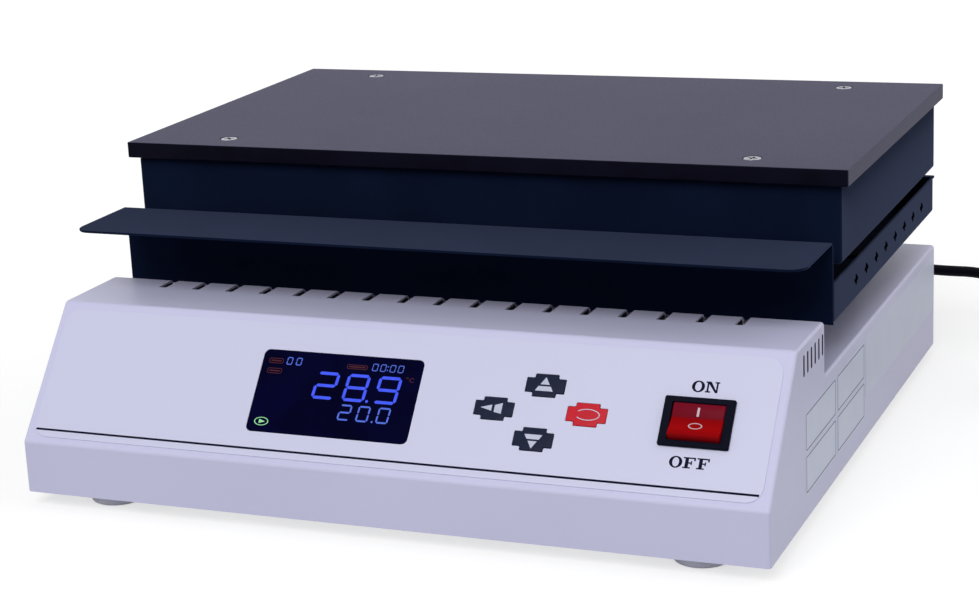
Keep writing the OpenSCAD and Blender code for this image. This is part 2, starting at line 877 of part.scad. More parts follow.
// Pan inside the shroud that holds the insulation up
module inner_pan() {
    color("#9aa0ab") stand() difference() {
        translate([0, shroud_y + shroud_d / 2, shroud_z + sheet_t])
            box([tray_w - 2 * sheet_t - 2 * fit,
                 shroud_d - 2 * sheet_t - 2 * fit, pan_t]);
        at_plate_screws() rod(pillar_r + pillar_gap, 2 * pan_t + 2 * cut,
                              shroud_z + sheet_t - pan_t);
        translate([conduit_x, conduit_y, shroud_z + sheet_t - pan_t])
            cylinder(r = conduit_r, h = 3 * pan_t);
    }
}

// Pillars through the pan: each holds a corner of the plate by its screw
module plate_pillars() {
    foot = tray_z + sheet_t;
    tall = plate_z - sheet_t - foot;
    color("#c9ccd2") stand() at_plate_screws() difference() {
        rod(pillar_r, tall, foot);
        rod(m4_r + pin_fit, post_screw_len + 2 * cut, foot - cut);
        rod(plate_screw_r + pin_fit, pillar_bore_len, foot + tall + cut
            - pillar_bore_len);
    }
}
module pillar_screws()
    color("silver") stand() at_plate_screws() translate([0, 0, tray_z])
        mirror([0, 0, 1])
            pan_screw(m4_r, post_screw_len, m4_head_r, m4_head_h);

// Heater: insulation, two bent tubes, a clamp sheet and a grooved plate
module insulation_board() {
    foot = shroud_z + sheet_t + pan_t;
    color("#e8e4d6") stand()
        translate([0, heater_y + heater_d / 2, foot])
            box([insul_w, heater_d, clamp_z - foot]);
}
module hairpin(y, r) {
    far = tube_leg + tube_tail;
    translate([0, y, tube_z]) {
        for (sy = [-1, 1]) translate([-tube_leg, sy * tube_bend, 0])
            rotate([0, 90, 0]) cylinder(r = r, h = tube_leg + far);
        translate([-tube_leg, 0, 0]) rotate(90)
            rotate_extrude(angle = 180) translate([tube_bend, 0])
                circle(r = r);
    }
}
module heater_tube(y) {
    color("#6d6a66") stand() {
        hairpin(y, tube_r);
        for (sy = [-1, 1])
            translate([tube_leg + tube_tail, y + sy * tube_bend, tube_z])
                rotate([0, 90, 0]) cylinder(r = tube_pin_r,
                                            h = tube_pin_len);
    }
}
module heater_front() heater_tube(tube_rows[0]);
module heater_rear() heater_tube(tube_rows[1]);
module clamp_sheet()
    color("#9aa0ab") stand()
        translate([0, heater_y + heater_d / 2, clamp_z])
            box([insul_w, heater_d, clamp_t]);
module heater_plate() {
    mid = heater_y + heater_d / 2;
    color("#a9adb4") stand() difference() {
        translate([0, mid, tube_z]) box([heater_w, heater_d, heater_t]);
        for (y = tube_rows) {
            hairpin(y, tube_r + tube_fit);
            translate([tube_leg, y, tube_z]) for (sy = [-1, 1])
                translate([0, sy * tube_bend, 0]) rotate([0, 90, 0])
                    cylinder(r = tube_r + tube_fit, h = heater_w / 2);
        }
        translate([heater_w / 2 - probe_len, mid, tube_z + heater_t / 2])
            rotate([0, 90, 0]) cylinder(r = probe_r + tube_fit,
                                        h = probe_len + cut);
    }
}
module temp_probe()
    color("silver") stand()
        translate([heater_w / 2 - probe_len, heater_y + heater_d / 2,
                   tube_z + heater_t / 2])
            rotate([0, 90, 0]) cylinder(r = probe_r, h = probe_len + cut);

// Graphite plate and its four countersunk screws
module graphite_plate() {
    color("#5a5560") stand() difference() {
        translate([0, plate_y + plate_d / 2, plate_z])
            box([plate_w, plate_d, plate_t]);
        at_plate_screws() {
            rod(plate_screw_r + fit, plate_t + 2 * cut, plate_z - cut);
            translate([0, 0, plate_z + plate_t - plate_head_h])
                cylinder(r1 = plate_screw_r + fit, r2 = plate_head_r + fit,
                         h = plate_head_h);
            rod(plate_head_r + fit, cut, plate_z + plate_t);
        }
    }
}
module plate_screws() {
    top = plate_z + plate_t;
    color("silver") stand() at_plate_screws() difference() {
        union() {
            rod(plate_screw_r, plate_screw_len, top - plate_screw_len);
            translate([0, 0, top - plate_head_h])
                cylinder(r1 = plate_screw_r, r2 = plate_head_r,
                         h = plate_head_h);
        }
        translate([0, 0, top - plate_head_h])
            driver_recess(plate_head_r, plate_head_h);
    }
}

// Wires that climb through the conduit to the heater tubes
module heater_leads() {
    block_top = base_t + block_h;
    color("#b03a2e") stand() for (sx = [-1, 1], sy = [-1, 1])
        let (row = tube_rows[sy < 0 ? 0 : 1], x = conduit_x + sx * lead_dx,
             side = x + lead_side, y = conduit_y + sy * lead_dx,
             turn = shroud_z + sheet_t + pan_t + lead_rise - sx * lead_dx,
             end = row + sx * sy * tube_bend,
             tip = tube_leg + tube_tail + tube_pin_len + lead_r + fit)
            wire([[x, y, block_top + lead_r + fit], [x, y, turn],
                  [side, y, turn], [side, y, tube_z], [side, end, tube_z],
                  [tip, end, tube_z]], lead_r);
}

// Wires from the terminal block to the lower tabs of the power switch
module switch_leads()
    color("#2d5f9a") stand() for (su = [-1, 1])
        let (tab = panel_point(switch_u + su * tab_du, switch_v - tab_dv,
                               -switch_box_depth - tab_len - lead_r - fit),
             x = conduit_x + block_w / 4 - su * lead_dx,
             low = base_t + lead_r + fit + (su + 1) * lead_r * 2)
            wire([[x, conduit_y - block_d / 2 - lead_r - fit, low],
                  [x, tab.y, low], [tab.x, tab.y, low], tab], lead_r);

// Electrics that stand on the base plate
module terminal_block()
    color("#d9d4c4") stand() translate([conduit_x, conduit_y, base_t])
        box([block_w, block_d, block_h]);
module heat_sink() {
    color("#9ea3ab") stand() translate([sink_x, sink_y, base_t]) {
        box([sink_w, sink_d, sink_foot]);
        translate([0, 0, sink_h - sink_foot]) box([sink_w, sink_d,
                                                  sink_foot]);
        for (i = [0 : sink_fins - 1])
            translate([(i / (sink_fins - 1) - 1 / 2)
                       * (sink_w - sink_fin_t), 0, 0])
                box([sink_fin_t, sink_d, sink_h]);
    }
}
module relay()
    color("#e9e6dc") stand()
        translate([sink_x, sink_y, base_t + sink_h])
            round_plate(relay_w, relay_d, relay_h, base_t);
module power_board() {
    color("#2f6b3a") stand() translate([board2_x, board2_y, base_t]) {
        for (sx = [-1, 1], sy = [-1, 1])
            translate([sx * (board2_w / 2 - board2_leg_in),
                       sy * (board2_d / 2 - board2_leg_in), 0])
                cylinder(r = board2_leg_r, h = board2_leg + cut);
        translate([0, 0, board2_leg]) box([board2_w, board2_d, board_t]);
        for (sx = [-1, 1])
            translate([sx * board2_w / 4, 0, board2_leg])
                cylinder(r = cap_r, h = cap_h);
    }
}
module transformer()
    color("#7a5a34") stand() translate([coil_x, coil_y, base_t]) {
        box([core_w, core_d, core_h]);
        translate([0, 0, (core_h - bobbin_h) / 2])
            box([bobbin_w, bobbin_d, bobbin_h]);
    }

// Fuse holder, its turning cap and the fuse inside
module in_rear_wall(x, z)
    translate([x, case_d, z]) rotate([-90, 0, 0]) children();
module fuse_holder()
    color("#1d1f24") stand() in_rear_wall(fuse_x, fuse_z) difference() {
        union() {
            rod(fuse_r, fuse_depth + cut, -fuse_depth);
            rod(fuse_flange_r, fuse_flange_t);
        }
        rod(fuse_bore_r, fuse_depth + fuse_flange_t, case_wall
            - fuse_depth);
    }
module fuse_cap()
    color("#1d1f24") stand() in_rear_wall(fuse_x, fuse_z) difference() {
        union() {
            rod(fuse_cap_r, fuse_cap_h - fit, fuse_flange_t + fit);
            rod(fuse_plug_r, fuse_plug_len, fuse_flange_t + cut
                - fuse_plug_len);
        }
        translate([0, 0, fuse_proud - fuse_slot_depth])
            box([2 * fuse_cap_r + cut, fuse_slot_w, fuse_slot_depth + cut]);
    }
module fuse_link()
    color("#cfd6da") stand() in_rear_wall(fuse_x, fuse_z)
        rod(fuse_link_r, fuse_link_len, case_wall - fuse_depth);

// Strain relief: a flanged rubber bush with a tapered tail
module strain_relief()
    color("#17181b") stand() in_rear_wall(relief_x, relief_z) {
        rod(relief_r, relief_in + cut, -relief_in);
        rod(relief_rim_r, relief_rim_t);
        translate([0, 0, relief_rim_t - cut])
            cylinder(r1 = relief_r, r2 = relief_end_r,
                     h = relief_len - relief_rim_t + cut);
    }

// Mains lead: the route of each stretch, and the turns of the coil
function coil_point(t) =
    let (half = coil_turns / 2, a = coil_angle - 360 * t,
         r = coil_out_r - coil_pitch * (half - abs(t - half)),
         rise = min(max((t - half) / coil_climb + 1 / 2, 0), 1),
         lift = rise * rise * (3 - 2 * rise))
        [coil_mid.x + r * cos(a), coil_mid.y + r * sin(a),
         coil_floor + coil_layer * lift];
coil_n = coil_turns * coil_rings;
coil_path = [for (i = [0 : coil_n]) coil_point(i / coil_rings)];
coil_in = coil_path[0] - cord_d * [sin(coil_angle), -cos(coil_angle), 0];
end_angle = coil_angle - 360 * coil_turns;
coil_end = coil_path[coil_n] + cord_d * [sin(end_angle), -cos(end_angle), 0];
coil_gap = min([for (i = [0 : coil_n], j = [i + coil_rings / 2 : coil_n])
                    norm(coil_path[i] - coil_path[j])]) - cord_d;
echo(least_gap_in_coil = coil_gap);
cord_tone = "#101114";
module power_cord() color(cord_tone) {
    tube(concat([cord_exit], lead_points, [coil_in]), cord_r, cord_sides);
    tube(concat([coil_end], tail_points, [plug_at]), cord_r, cord_sides);
}
module cord_coil()
    color(cord_tone) tube(concat([coil_in], coil_path, [coil_end]), cord_r,
                          coil_sides);
module cord_tie() {
    wide = coil_pitch * coil_turns / 2 + cord_d + 2 * tie_gap;
    tall = coil_layer + cord_d + 2 * tie_gap;
    mid = coil_out_r - coil_pitch * coil_turns / 4;
    color("#3a3c42") translate([coil_mid.x, coil_mid.y, 0])
        rotate(tie_angle)
            translate([mid, 0, coil_floor - cord_r - tie_gap - tie_t])
                difference() {
                    box([wide + 2 * tie_t, tie_w, tall + 2 * tie_t]);
                    translate([0, 0, tie_t])
                        box([wide, tie_w + 2 * cut, tall]);
                }
}

// Plug at the end of the tail, lying beside the coil
module plug_body() {
    color("#17181b") translate(plug_at) rotate([90, 0, 0]) {
        translate([0, 0, plug_neck_len])
            round_plate(plug_w, plug_t, plug_len, plug_edge_r);
        cylinder(r1 = cord_r + fit, r2 = plug_neck_r,
                 h = plug_neck_len + cut);
    }
}
module plug_pins() {
    face = plug_neck_len + plug_len;
    color("#c9b37a") translate(plug_at) rotate([90, 0, 0]) {
        for (sx = [-1, 1])
            translate([sx * blade_dx, blade_dz, face])
                box([blade_t, blade_w, blade_len]);
        translate([0, earth_dz, face]) cylinder(r = earth_r, h = earth_len);
    }
}

module foot_fl() foot(0);
module foot_fr() foot(1);
module foot_rl() foot(2);
module foot_rr() foot(3);
module deck_post_fl() deck_post(0);
module deck_post_fr() deck_post(1);
module deck_post_rl() deck_post(2);
module deck_post_rr() deck_post(3);

case_cover();
base_plate();
base_screws();
foot_fl();
foot_fr();
foot_rl();
foot_rr();
foot_screws();
foot_nuts();
front_overlay();
display_window();
lcd_module();
control_board();
board_posts();
board_screws();
key_switches();
key_up();
key_left();
key_down();
key_set();
switch_body();
rocker();
switch_tabs();
deck_post_fl();
deck_post_fr();
deck_post_rl();
deck_post_rr();
deck_screws();
lower_tray();
tray_screws();
front_shield();
wire_conduit();
upper_shroud();
inner_pan();
plate_pillars();
pillar_screws();
insulation_board();
heater_front();
heater_rear();
clamp_sheet();
heater_plate();
temp_probe();
graphite_plate();
plate_screws();
heater_leads();
switch_leads();
terminal_block();
heat_sink();
relay();
power_board();
transformer();
fuse_holder();
fuse_cap();
fuse_link();
strain_relief();
power_cord();
cord_coil();
cord_tie();
plug_body();
plug_pins();
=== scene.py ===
from math import atan2, cos, pi, radians, sin, sqrt, tan

import bmesh
import bpy
from mathutils import Euler, Matrix, Vector


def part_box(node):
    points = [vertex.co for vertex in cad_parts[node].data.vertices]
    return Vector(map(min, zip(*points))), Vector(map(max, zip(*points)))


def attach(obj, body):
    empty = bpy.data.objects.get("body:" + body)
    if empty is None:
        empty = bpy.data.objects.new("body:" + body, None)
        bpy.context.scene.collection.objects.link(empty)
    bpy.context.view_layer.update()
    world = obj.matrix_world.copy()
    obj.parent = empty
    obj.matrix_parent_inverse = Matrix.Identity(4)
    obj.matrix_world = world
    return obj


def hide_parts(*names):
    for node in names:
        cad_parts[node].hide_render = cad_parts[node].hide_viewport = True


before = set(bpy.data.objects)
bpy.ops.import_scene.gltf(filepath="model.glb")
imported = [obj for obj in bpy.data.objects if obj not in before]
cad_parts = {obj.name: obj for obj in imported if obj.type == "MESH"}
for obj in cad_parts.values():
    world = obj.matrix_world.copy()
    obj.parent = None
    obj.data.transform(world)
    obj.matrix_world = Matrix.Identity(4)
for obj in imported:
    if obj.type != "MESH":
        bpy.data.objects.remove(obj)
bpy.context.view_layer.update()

# Camera. It stands off the right front corner, a little above the plate, and
# leans 2.6 degrees about its own axis, as the photograph's did.
eye = bpy.data.cameras.new("camera")
eye.lens = 84.576
eye.sensor_width = 36.0
eye.clip_start = 0.05
eye.clip_end = 60.0
camera = bpy.data.objects.new("camera", eye)
camera.location = (0.45522, -1.11804, 0.40591)
camera.rotation_euler = Euler((radians(74.447), radians(2.63), radians(21.976)))
bpy.context.collection.objects.link(camera)
bpy.context.scene.camera = camera

# Stage. A wide pale floor under a white room, with a broad soft lamp from the
# front and a weak one from behind. The floor looks white and takes a shadow.
bpy.context.scene.view_settings.view_transform = "Standard"


def looked_at(nodes, link):
    """A node that gives 1 to rays from the camera, a mirror or glass, and 0 to the rest."""
    ray = nodes.new("ShaderNodeLightPath")
    plain = nodes.new("ShaderNodeMath")
    plain.operation = "MAXIMUM"
    link(ray.outputs["Is Camera Ray"], plain.inputs[0])
    link(ray.outputs["Is Glossy Ray"], plain.inputs[1])
    through = nodes.new("ShaderNodeMath")
    through.operation = "MAXIMUM"
    link(plain.outputs[0], through.inputs[0])
    link(ray.outputs["Is Transmission Ray"], through.inputs[1])
    return through


room = bpy.data.worlds.new("room")
room.use_nodes = True
bpy.context.scene.world = room
room_nodes = room.node_tree.nodes
room_nodes.clear()
room_link = room.node_tree.links.new
room_light = room_nodes.new("ShaderNodeMapRange")
room_light.inputs["To Min"].default_value = 0.40
room_light.inputs["To Max"].default_value = 1.0
room_glow = room_nodes.new("ShaderNodeBackground")
room_glow.inputs["Color"].default_value = (1.0, 1.0, 1.0, 1.0)
room_out = room_nodes.new("ShaderNodeOutputWorld")
room_link(looked_at(room_nodes, room_link).outputs[0], room_light.inputs["Value"])
room_link(room_light.outputs[0], room_glow.inputs["Strength"])
room_link(room_glow.outputs[0], room_out.inputs["Surface"])

for name, power, spread, come_from in [("front_lamp", 1.64, 40, Vector((-0.02, -0.71, 0.70))),
                                       ("rear_lamp", 0.62, 70, Vector((0.74, 0.46, 0.49)))]:
    lamp = bpy.data.lights.new(name, "SUN")
    lamp.energy = power
    lamp.angle = radians(spread)
    stand = bpy.data.objects.new(name, lamp)
    stand.rotation_euler = come_from.to_track_quat("Z", "Y").to_euler()
    bpy.context.collection.objects.link(stand)

floor_half = 14.0
floor_mesh = bpy.data.meshes.new("floor")
floor_mesh.from_pydata([(-floor_half, -floor_half, 0.0), (floor_half, -floor_half, 0.0),
                        (floor_half, floor_half, 0.0), (-floor_half, floor_half, 0.0)],
                       [], [(0, 1, 2, 3)])
floor = bpy.data.objects.new("floor", floor_mesh)
bpy.context.collection.objects.link(floor)
floor_paint = bpy.data.materials.new("floor_paper")
floor_paint.use_nodes = True
floor_nodes = floor_paint.node_tree.nodes
floor_nodes.clear()
floor_link = floor_paint.node_tree.links.new
floor_matt = floor_nodes.new("ShaderNodeBsdfDiffuse")
floor_matt.inputs["Color"].default_value = (0.5, 0.5, 0.5, 1.0)
floor_lift = floor_nodes.new("ShaderNodeMath")
floor_lift.operation = "MULTIPLY"
floor_lift.inputs[1].default_value = 0.6
floor_glow = floor_nodes.new("ShaderNodeEmission")
floor_sum = floor_nodes.new("ShaderNodeAddShader")
floor_out = floor_nodes.new("ShaderNodeOutputMaterial")
floor_link(looked_at(floor_nodes, floor_link).outputs[0], floor_lift.inputs[0])
floor_link(floor_lift.outputs[0], floor_glow.inputs["Strength"])
floor_link(floor_matt.outputs[0], floor_sum.inputs[0])
floor_link(floor_glow.outputs[0], floor_sum.inputs[1])
floor_link(floor_sum.outputs[0], floor_out.inputs["Surface"])
floor_mesh.materials.append(floor_paint)


# Mains lead. A black rubber-sheathed lead hangs from the rear wall, lies on
# the surface and is wound into a round coil; its tail ends in the plug.
mm = 0.001
lead_width = 6.5 * mm
coil_centre = Vector((290.0, 130.0, 0.0)) * mm
coil_outer = 46.0
coil_pitch = 7.2
coil_layer = 7.1
coil_turns = 5.25
coil_from = 45.0
coil_climb = 0.5
coil_rings_a_turn = 24
coil_height = 4.25


def coil_point(share):
    """A point of the coil: inward and out again, a layer higher on the way out."""
    half = coil_turns / 2
    turned = share * coil_turns
    angle = radians(coil_from - 360.0 * turned)
    out = coil_outer - coil_pitch * (half - abs(turned - half))
    rise = min(max((turned - half) / coil_climb + 0.5, 0.0), 1.0)
    lift = rise * rise * (3.0 - 2.0 * rise)
    height = coil_height + coil_layer * lift
    return coil_centre + Vector((out * cos(angle), out * sin(angle), height)) * mm


def smooth_route(points, steps):
    """A smooth curve through the points, with that many steps between two."""
    spread = [points[0] * 2 - points[1]] + points + [points[-1] * 2 - points[-2]]
    route = []
    for i in range(1, len(spread) - 2):
        a, b, c, d = spread[i - 1:i + 3]
        for k in range(steps):
            t = k / steps
            bend = (a * -1 + b * 3 - c * 3 + d) * t + (a * 2 - b * 5 + c * 4 - d)
            route.append(((bend * t + (c - a)) * t + b * 2) * 0.5)
    route.append(points[-1])
    return route


lead_exit = Vector((150.0, 206.25, 40.0)) * mm
lead_run = [
    (150, 213, 39.6), (152, 223, 38.4), (158, 233, 36.8), (167, 239, 35.4),
    (178, 242, 34.6), (192, 242, 34.4), (206, 241, 34.6), (220, 238, 33.4),
    (234, 233, 29.4), (247, 226, 23.0), (260, 217, 16.0), (272, 208, 10.4),
    (284, 198, 6.5), (296, 187, 4.8), (307, 177, 4.3),
]
tail_run = [(311, 85, 11.4), (305, 76, 11.2), (301, 66, 11), (299, 56, 11)]
plug_at = Vector((299.0, 48.0, 11.0)) * mm
coil_steps = round(coil_turns * coil_rings_a_turn)
lead_points = [lead_exit] + [Vector(p) * mm for p in lead_run]
coil_start_way = Vector((sin(radians(coil_from)), -cos(radians(coil_from)), 0.0))
coil_stop = radians(coil_from - 360.0 * coil_turns)
coil_stop_way = Vector((sin(coil_stop), -cos(coil_stop), 0.0))
lead_points.append(coil_point(0.0) - coil_start_way * lead_width)
lead_points += [coil_point(i / coil_steps) for i in range(coil_steps + 1)]
lead_points.append(coil_point(1.0) + coil_stop_way * lead_width)
lead_points += [Vector(p) * mm for p in tail_run] + [plug_at]
lead_route = smooth_route(lead_points, 3)

lead_curve = bpy.data.curves.new("mains_lead", "CURVE")
lead_curve.dimensions = "3D"
lead_spline = lead_curve.splines.new("POLY")
lead_spline.points.add(len(lead_route) - 1)
for point, place in zip(lead_spline.points, lead_route):
    point.co = (place.x, place.y, place.z, 1.0)
lead_curve.bevel_depth = lead_width / 2
lead_curve.bevel_resolution = 5
lead_curve.use_fill_caps = True
lead = bpy.data.objects.new("mains_lead", lead_curve)
bpy.context.collection.objects.link(lead)


def finish_of(name, tone, rough, grain, metal=0.0, gloss=0.5, vary=0.06, patch=18.0,
              relief=0.00003, stretch=(1.0, 1.0, 1.0), rough_vary=0.06, sheen=0.0,
              sheen_tone=(1.0, 1.0, 1.0), sheen_rough=0.4):
    """A finish: its colour drifts a little in patches, and a fine grain lifts its surface."""
    stuff = bpy.data.materials.new(name)
    stuff.use_nodes = True
    nodes = stuff.node_tree.nodes
    link = stuff.node_tree.links.new
    shader = nodes["Principled BSDF"]
    shader.inputs["Metallic"].default_value = metal
    shader.inputs["Specular IOR Level"].default_value = gloss
    shader.inputs["Sheen Weight"].default_value = sheen
    shader.inputs["Sheen Roughness"].default_value = sheen_rough
    shader.inputs["Sheen Tint"].default_value = (*sheen_tone, 1.0)
    where = nodes.new("ShaderNodeTexCoord")
    lie = nodes.new("ShaderNodeMapping")
    lie.inputs["Scale"].default_value = stretch
    link(where.outputs["Object"], lie.inputs["Vector"])
    drift = nodes.new("ShaderNodeTexNoise")
    drift.name = "drift"
    drift.inputs["Scale"].default_value = patch
    drift.inputs["Detail"].default_value = 4.0
    link(lie.outputs["Vector"], drift.inputs["Vector"])
    ramp = nodes.new("ShaderNodeValToRGB")
    ramp.name = "tones"
    ramp.color_ramp.elements[0].position = 0.3
    ramp.color_ramp.elements[1].position = 0.7
    ramp.color_ramp.elements[0].color = [c * (1.0 - vary) for c in tone] + [1.0]
    ramp.color_ramp.elements[1].color = [min(c * (1.0 + vary), 1.0) for c in tone] + [1.0]
    link(drift.outputs["Fac"], ramp.inputs["Fac"])
    link(ramp.outputs["Color"], shader.inputs["Base Color"])
    fine = nodes.new("ShaderNodeTexNoise")
    fine.name = "grain"
    fine.inputs["Scale"].default_value = grain
    fine.inputs["Detail"].default_value = 3.0
    link(lie.outputs["Vector"], fine.inputs["Vector"])
    dulling = nodes.new("ShaderNodeMapRange")
    dulling.name = "dulling"
    dulling.inputs["From Min"].default_value = 0.3
    dulling.inputs["From Max"].default_value = 0.7
    dulling.inputs["To Min"].default_value = max(rough - rough_vary, 0.03)
    dulling.inputs["To Max"].default_value = min(rough + rough_vary, 1.0)
    link(fine.outputs["Fac"], dulling.inputs["Value"])
    link(dulling.outputs["Result"], shader.inputs["Roughness"])
    bump = nodes.new("ShaderNodeBump")
    bump.name = "relief"
    bump.inputs["Strength"].default_value = 1.0
    bump.inputs["Distance"].default_value = relief
    link(fine.outputs["Fac"], bump.inputs["Height"])
    link(bump.outputs["Normal"], shader.inputs["Normal"])
    return stuff


lead_rubber = finish_of("lead_rubber", (0.0016, 0.0016, 0.0050), 0.5, gloss=0.06, grain=900.0)
lead_curve.materials.append(lead_rubber)
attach(lead, "housing")
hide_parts("power_cord", "cord_coil")

# Moulded plug and its pins. The plug is one black moulding with a ribbed neck
# that is moulded on the lead's end; the blades and the round pin are plated
# brass and are moulded in.


def new_piece(name, points, faces, *stuffs):
    """A mesh piece with its faces turned outward and its finishes in order."""
    shape = bpy.data.meshes.new(name)
    shape.from_pydata([tuple(p) for p in points], [], faces)
    work = bmesh.new()
    work.from_mesh(shape)
    bmesh.ops.remove_doubles(work, verts=work.verts, dist=0.000002)
    bmesh.ops.dissolve_degenerate(work, edges=work.edges, dist=0.000002)
    bmesh.ops.recalc_face_normals(work, faces=work.faces)
    work.to_mesh(shape)
    work.free()
    for stuff in stuffs:
        shape.materials.append(stuff)
    piece = bpy.data.objects.new(name, shape)
    bpy.context.collection.objects.link(piece)
    return piece


def skin(rings, closed=False):
    """Points and faces of a skin over rings of equal count, open or closed on itself."""
    count = len(rings[0])
    points = [p for ring in rings for p in ring]
    faces = []
    spans = len(rings) if closed else len(rings) - 1
    for i in range(spans):
        a = i * count
        b = ((i + 1) % len(rings)) * count
        for k in range(count):
            n = (k + 1) % count
            faces.append((a + k, a + n, b + n, b + k))
    if not closed:
        faces.append(tuple(range(count - 1, -1, -1)))
        faces.append(tuple(range(len(points) - count, len(points))))
    return points, faces


def joined(*parts):
    """Several lots of points and faces as one lot."""
    points = []
    faces = []
    for some_points, some_faces in parts:
        start = len(points)
        points += some_points
        faces += [tuple(start + i for i in face) for face in some_faces]
    return points, faces


def round_of(r, sides, h=0.0):
    """A round of points about the Z axis at a height."""
    return [Vector((r * cos(2 * pi * k / sides), r * sin(2 * pi * k / sides), h)) for k in range(sides)]


def turned(profile, sides):
    """A turned solid: rings of (radius, height) in mm round the Z axis."""
    return skin([round_of(max(r * mm, 0.000001), sides, h * mm) for r, h in profile])


def moved(part, matrix):
    """Points moved by a matrix, with the same faces."""
    points, faces = part
    return [matrix @ Vector(p) for p in points], faces


def oblong(w, h, r, steps=6):
    """A flat outline w by h with round corners, counter-clockwise."""
    line = []
    for i, (sx, sy) in enumerate([(1, 1), (-1, 1), (-1, -1), (1, -1)]):
        for k in range(steps + 1):
            a = pi / 2 * (i + k / steps)
            line.append(Vector((sx * (w / 2 - r) + r * cos(a), sy * (h / 2 - r) + r * sin(a), 0.0)))
    return line


def slab(w, h, t, r, edge, steps=6, low_edge=None):
    """A plate with round corners and eased rims, standing on z = 0."""
    if low_edge is None:
        low_edge = edge
    rings = []
    for k in range(4):
        a = pi / 2 * k / 3
        inset = low_edge * (1 - sin(a))
        rings.append([p + Vector((0, 0, low_edge * (1 - cos(a))))
                      for p in oblong(w - 2 * inset, h - 2 * inset, max(r - inset, 0.00002), steps)])
    for k in range(4):
        a = pi / 2 * k / 3
        inset = edge * (1 - cos(a))
        rings.append([p + Vector((0, 0, t - edge * (1 - sin(a))))
                      for p in oblong(w - 2 * inset, h - 2 * inset, max(r - inset, 0.00002), steps)])
    return skin(rings)


def smooth(piece, angle, even=True):
    """Shades a piece smooth across its easy edges only, and keeps its flats flat."""
    piece.data.shade_smooth()
    piece.data.set_sharp_from_angle(angle=radians(angle))
    if even:
        flats = piece.modifiers.new("even_flats", "WEIGHTED_NORMAL")
        flats.keep_sharp = True
        settle(piece)


def settle(piece):
    """Turns a piece and its modifiers into one plain mesh."""
    now = bpy.context.evaluated_depsgraph_get()
    now.update()
    shape = bpy.data.meshes.new_from_object(piece.evaluated_get(now))
    shape.name = piece.name
    old = piece.data
    piece.modifiers.clear()
    piece.data = shape
    bpy.data.meshes.remove(old)


plug_rubber = finish_of("plug_rubber", (0.008, 0.008, 0.010), 0.46, gloss=0.4, grain=1100.0)
plug_w = 27.0 * mm
plug_h = 20.0 * mm
plug_long = 32.0
neck_long = 13.0
neck_over = 1.0
plug_rings = []
for share, w, h, r in [(0.0, 0.62, 0.62, 0.98), (0.03, 0.72, 0.72, 0.98), (0.16, 0.9, 0.94, 0.6),
                       (0.3, 1.0, 1.0, 0.45), (0.85, 1.0, 1.0, 0.4), (0.96, 0.97, 0.96, 0.4),
                       (1.0, 0.9, 0.88, 0.4)]:
    back = (neck_long - neck_over + plug_long * share) * mm
    plug_rings.append([plug_at + Vector((p.x, -back, p.y))
                       for p in oblong(plug_w * w, plug_h * h, plug_h / 2 * h * r)])
neck_r = 4.0
neck_grow = 1.2
neck_rib = 0.45
neck_steps = 24
neck_turns = [2 * pi * k / 32 for k in range(32)]
neck_rings = []
for i in range(neck_steps + 1):
    share = i / neck_steps
    swell = neck_rib if i % 4 in (1, 2) else 0.0
    r = (neck_r + neck_grow * share + swell) * mm
    neck_rings.append([plug_at + Vector((r * cos(a), -neck_long * share * mm, r * sin(a)))
                       for a in neck_turns])
plug = new_piece("plug", *joined(skin(plug_rings), skin(neck_rings)), plug_rubber)
smooth(plug, 50.0, even=False)
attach(plug, "housing")
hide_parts("plug_body")

pin_brass = finish_of("pin_plating", (0.62, 0.60, 0.55), 0.24, metal=1.0, vary=0.05, grain=2500.0,
                      relief=0.000004)
plug_face = neck_long - neck_over + plug_long
blade_t = 1.5
blade_apart = 12.7
blade_low = -3.5
blade_middle = 8.4
blade_w = 6.3
blade_long = 17.0
pin_parts = []
for side in (-1, 1):
    blade = slab(blade_w * mm, blade_long * mm, blade_t * mm, 0.6 * mm, 0.3 * mm)
    stand = (Matrix.Translation(plug_at + Vector((side * blade_apart / 2, -plug_face - blade_middle,
                                                  blade_low)) * mm)
             @ Matrix.Rotation(pi / 2, 4, "Y") @ Matrix.Translation((0, 0, -blade_t / 2 * mm)))
    pin_parts.append(moved(blade, stand))
earth_pin_high = 5.0
earth_pin = turned([(0, 0), (2.4, 0), (2.4, 18.0), (2.1, 19.2), (1.2, 19.9), (0, 20.0)], 24)
earth_stand = (Matrix.Translation(plug_at + Vector((0, -plug_face, earth_pin_high)) * mm)
               @ Matrix.Rotation(pi / 2, 4, "X"))
pin_parts.append(moved(earth_pin, earth_stand))
pins = new_piece("plug_blades", *joined(*pin_parts), pin_brass)
smooth(pins, 40.0, even=False)
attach(pins, "housing")
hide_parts("plug_pins")

# Tie. A strip of black nylon is closed round one side of the coil and keeps
# its turns together.
tie_nylon = finish_of("tie_nylon", (0.010, 0.010, 0.012), 0.42, gloss=0.4, grain=1500.0)
tie_turn = radians(225)
tie_gap = 0.15
tie_thick = 0.8
tie_band = 12.0
tie_wide = coil_pitch * coil_turns / 2 + lead_width / mm + 2 * tie_gap
tie_tall = coil_layer + lead_width / mm + 2 * tie_gap
tie_reach = coil_outer - coil_pitch * coil_turns / 4
tie_base = coil_height - lead_width / mm / 2 - tie_gap - tie_thick
tie_rings = []
for grow, side in [(0, -1), (0, 1), (tie_thick, 1), (tie_thick, -1)]:
    loop = oblong((tie_wide + 2 * grow) * mm, (tie_tall + 2 * grow) * mm, (2.4 + grow) * mm)
    tie_rings.append([
        Vector((p.x, side * tie_band / 2 * mm, p.y + (tie_tall / 2 + tie_thick) * mm)) for p in loop
    ])
